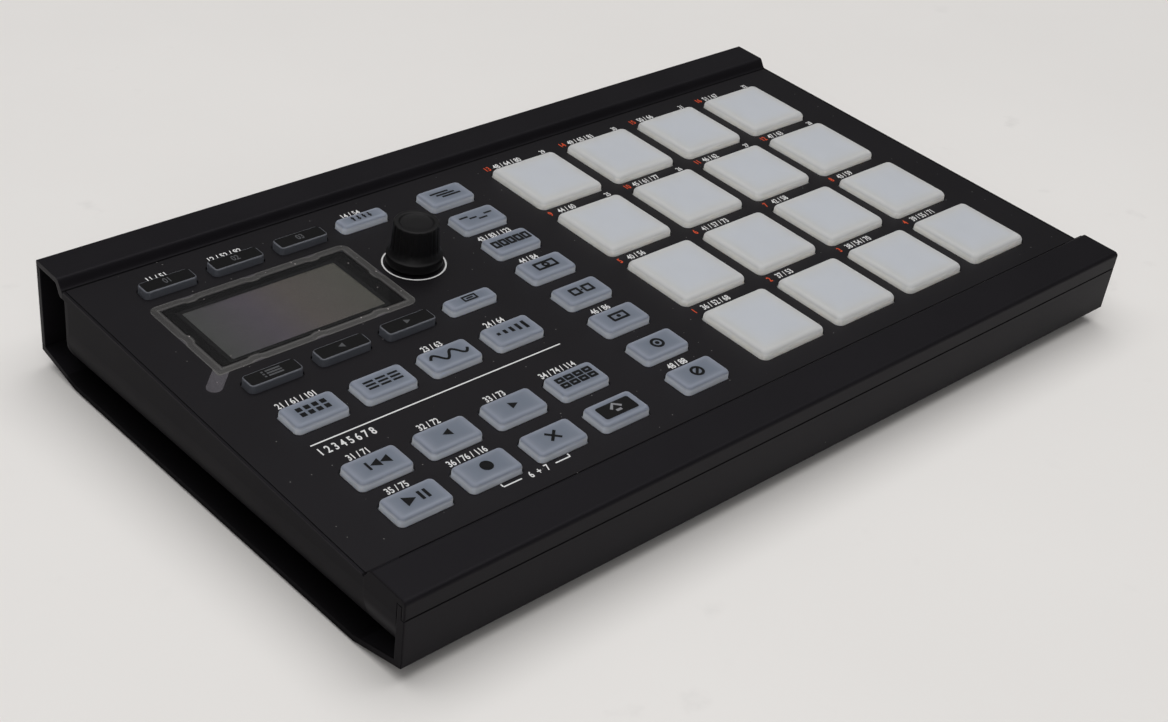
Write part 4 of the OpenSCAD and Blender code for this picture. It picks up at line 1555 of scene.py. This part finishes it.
@dataclass
class Prints:
    """The faceplate's printing: plain numbers, rules, the ring round the knob.

    Attributes:
        ink: Thickness of the ink.
        small: Height of the small numbers.
        large: Height of the heading's numbers.
        rise: Distance from a key's rear edge up to its number.
        ring: Outer radius and width of the ring round the knob.
        rule: Ends, depth and width of the rule over the transport keys.
        heading_gap: Distance from the rule down to its heading.
        bracket: Inner ends, depth and width of the bracket, and the length of its ticks.
        pad_rise: Distance from a pad's rear edge up to its numbers.
        pad_places: Distances of the pad's number and notes from its left edge, and of the last number
            from its right edge.
        fine: Size of that last number against the others.
        notes: First note of each bank, counted from zero.
        labelled: Keys of each group that have numbers behind them.
        wide_keys: Keys with three numbers.
        wide_pads: Pads with three numbers.
    """

    ink: float = 0.035
    small: float = 2.7
    large: float = 3.3
    rise: float = 2.1
    ring: tuple[float, float] = (10.85, 0.55)
    rule: tuple[float, float, float, float] = (-140.6, -46.2, -27.1, 0.5)
    heading_gap: float = 2.0
    bracket: tuple[float, float, float, float, float] = (-99.7, -87.0, -72.0, 0.45, 1.2)
    pad_rise: float = 2.4
    pad_places: tuple[float, float, float] = (0.4, 4.6, 0.2)
    fine: float = 0.85
    notes: tuple[int, int, int] = (35, 51, 67)
    labelled: dict[str, Sequence[int]] = field(default_factory=lambda: {
        "soft_key": (1, 2, 4),
        "mode_key": (1, 3, 4),
        "transport_key": (1, 2, 3, 4, 5, 6),
        "side_key": (3, 4, 6, 8),
    })
    wide_keys: Sequence[tuple[str, int]] = (
        ("soft_key", 2), ("mode_key", 1), ("transport_key", 4), ("transport_key", 6),
        ("side_key", 3),
    )
    wide_pads: Sequence[int] = (1, 3, 4, 6, 10, 13, 14)

    def pen(self) -> Pen:
        """Returns a pen on the plate's top."""
        return Pen(0.0, self.ink)

    def over_keys(self) -> list[Shape]:
        """Returns the numbers behind the keys, each centred on its key."""
        pen = self.pen()
        shapes = []
        groups = len(self.labelled)
        for row, (group, numbers) in enumerate(self.labelled.items(), start=1):
            for number in numbers:
                low, high = PANEL.extent(f"{group}_{number}", above=CAP_START)
                middle = (low[0] + high[0]) / 2
                banks = 3 if (group, number) in self.wide_keys else 2
                text = " / ".join(f"{row + groups * bank}{number}" for bank in range(banks))
                shapes.append(pen.digits(text, middle, high[1] + self.rise, self.small))
        return shapes

    def rules(self) -> list[Shape]:
        """Returns the rule with its heading, and the bracket in front of two transport keys."""
        pen = self.pen()
        left, right, depth, width = self.rule
        shapes = [pen.box((left + right) / 2, depth, right - left, width)]
        base = depth - self.heading_gap - self.large
        shapes.append(pen.digits("1 2 3 4 5 6 7 8", left, base, self.large, "LEFT"))
        *stops, front, line, tick = self.bracket
        for number, stop in zip((6, 7), stops):
            end = PANEL.middle(f"transport_key_{number}")[0]
            shapes.append(pen.box((end + stop) / 2, front, abs(end - stop), line))
            shapes.append(pen.box(end, front + line / 2 + tick / 2, line, tick))
        shapes.append(pen.digits("6  +  7", sum(stops) / 2, front - self.small / 2, self.small))
        return shapes

    def by_pads(self) -> tuple[list[Shape], list[Shape]]:
        """Returns the white note numbers and the orange pad numbers behind the pads."""
        pen = self.pen()
        white, orange = [], []
        at_number, at_notes, from_right = self.pad_places
        for number in range(1, PAD_COUNT + 1):
            low, high = PANEL.extent(f"pad_{number}", above=CAP_START)
            left, base = low[0], high[1] + self.pad_rise
            orange.append(pen.digits(str(number), left + at_number, base, self.small, "LEFT"))
            notes = self.notes if number in self.wide_pads else self.notes[:2]
            text = " / ".join(str(first + number) for first in notes)
            white.append(pen.digits(text, left + at_notes, base, self.small, "LEFT"))
            if number > PAD_COUNT / 2:
                last = str(number + PAD_COUNT)
                white.append(pen.digits(last, high[0] - from_right, base, self.fine * self.small, "RIGHT"))
        return white, orange

    def build(self) -> None:
        """Joins the printing into one piece for each ink."""
        knob = PANEL.middle("encoder_knob")
        ring = self.pen().ring(knob[0], knob[1], *self.ring)
        pads_white, pads_orange = self.by_pads()
        white = joined([ring, *self.over_keys(), *self.rules(), *pads_white])
        add_piece("panel_print_white", white, WHITE_INK, "case")
        add_piece("panel_print_orange", joined(pads_orange), ORANGE_INK, "case")


@dataclass
class Studio:
    """Floor, soft light and the camera at the photograph's viewing angle.

    Attributes:
        eye: Place of the camera, in metres.
        target: Point that it looks at.
        roll: How far its right side is turned up, in degrees.
        focal: Focal length on the sensor, in millimetres.
        sensor: Width of the sensor.
        floor: Half size of the floor.
        floor_lines: Lines of the floor's grid each way.
        sky: Strength of the sky at the horizon and overhead.
    """

    eye: Point = (-0.37676, -0.37529, 0.32771)
    target: Point = (-0.03572, -0.02785, 0.02)
    roll: float = 4.75
    focal: float = 55.33
    sensor: float = 36.0
    floor: float = 8.0
    floor_lines: int = 9
    sky: tuple[float, float] = (0.10, 0.42)

    def add_camera(self) -> None:
        """Looks from the eye to the target, with the level right side turned up by the roll."""
        ahead = (Vector(self.target) - Vector(self.eye)).normalized()
        level = ahead.cross(Vector((0, 0, 1))).normalized()
        right = Matrix.Rotation(-math.radians(self.roll), 3, ahead) @ level
        up = right.cross(ahead)
        turn = Matrix((right, up, -ahead)).transposed()
        data = bpy.data.cameras.new("photo_view")
        data.sensor_fit = "HORIZONTAL"
        data.sensor_width = self.sensor
        data.lens = self.focal
        data.clip_start = 0.01
        camera = bpy.data.objects.new("photo_view", data)
        camera.location = self.eye
        camera.rotation_euler = turn.to_euler()
        bpy.context.scene.collection.objects.link(camera)
        bpy.context.scene.camera = camera

    def add_lamp(self, name: str, place: Point, size: tuple[float, float], watts: float) -> None:
        """Hangs a soft area lamp that shines at the origin.

        Args:
            name: Name of the lamp.
            place: Where it hangs, in metres.
            size: Width and length, in metres.
            watts: Power.
        """
        data = bpy.data.lights.new(name, "AREA")
        data.shape = "RECTANGLE"
        data.size, data.size_y = size
        data.energy = watts
        lamp = bpy.data.objects.new(name, data)
        lamp.location = place
        lamp.rotation_euler = (Vector() - Vector(place)).to_track_quat("-Z", "Y").to_euler()
        bpy.context.scene.collection.objects.link(lamp)

    def add_sky(self) -> None:
        """Lights the world from overhead, less towards the horizon."""
        world = bpy.data.worlds.new("soft_sky")
        graph = Graph(world)
        split = graph.node("ShaderNodeSeparateXYZ", {0: graph.coordinates["Generated"]})
        low, high = self.sky
        strength = low + Value(graph, split.outputs[2]).step(0.45, 1.0) * (high - low)
        sky = graph.node("ShaderNodeBackground", {"Color": SKY_WHITE, "Strength": strength})
        graph.node("ShaderNodeOutputWorld", {0: sky.outputs[0]})
        bpy.context.scene.world = world

    def add_floor(self) -> None:
        """Lays a level grid of quads, each between neighbouring lines of the grid."""
        side = np.linspace(-self.floor, self.floor, self.floor_lines)
        u, v = np.meshgrid(side, side)
        points = np.stack([u, v, np.zeros_like(u)], axis=2).reshape(-1, 3)
        grid = np.arange(points.shape[0]).reshape(u.shape)
        corner = [grid[:-1, :-1], grid[:-1, 1:], grid[1:, 1:], grid[1:, :-1]]
        quads = np.stack(corner, axis=-1).reshape(-1, 4)
        floor = add_mesh("studio_floor", points, quads.tolist(), FLOOR_PAPER)

    def build(self) -> None:
        """Adds the sky, the floor, the lamps and the camera."""
        bpy.context.scene.view_settings.view_transform = "Standard"
        self.add_sky()
        self.add_floor()
        self.add_lamp("overhead", (0.0, 0.1, 2.2), (3.2, 2.6), 43.0)
        self.add_lamp("front_fill", (-1.2, -1.2, 1.0), (1.6, 1.2), 7.0)
        self.add_camera()


def main() -> None:
    """Builds the sub-assemblies in order."""
    logging.basicConfig(level=logging.INFO, format="%(name)s: %(message)s")
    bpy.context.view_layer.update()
    for assembly in (Housing(), PadGrid(), Keypad(), Knob(), Display(), Socket(), Prints(), Studio()):
        log.info("building %s", type(assembly).__name__)
        assembly.build()


if __name__ == "__main__":
    main()
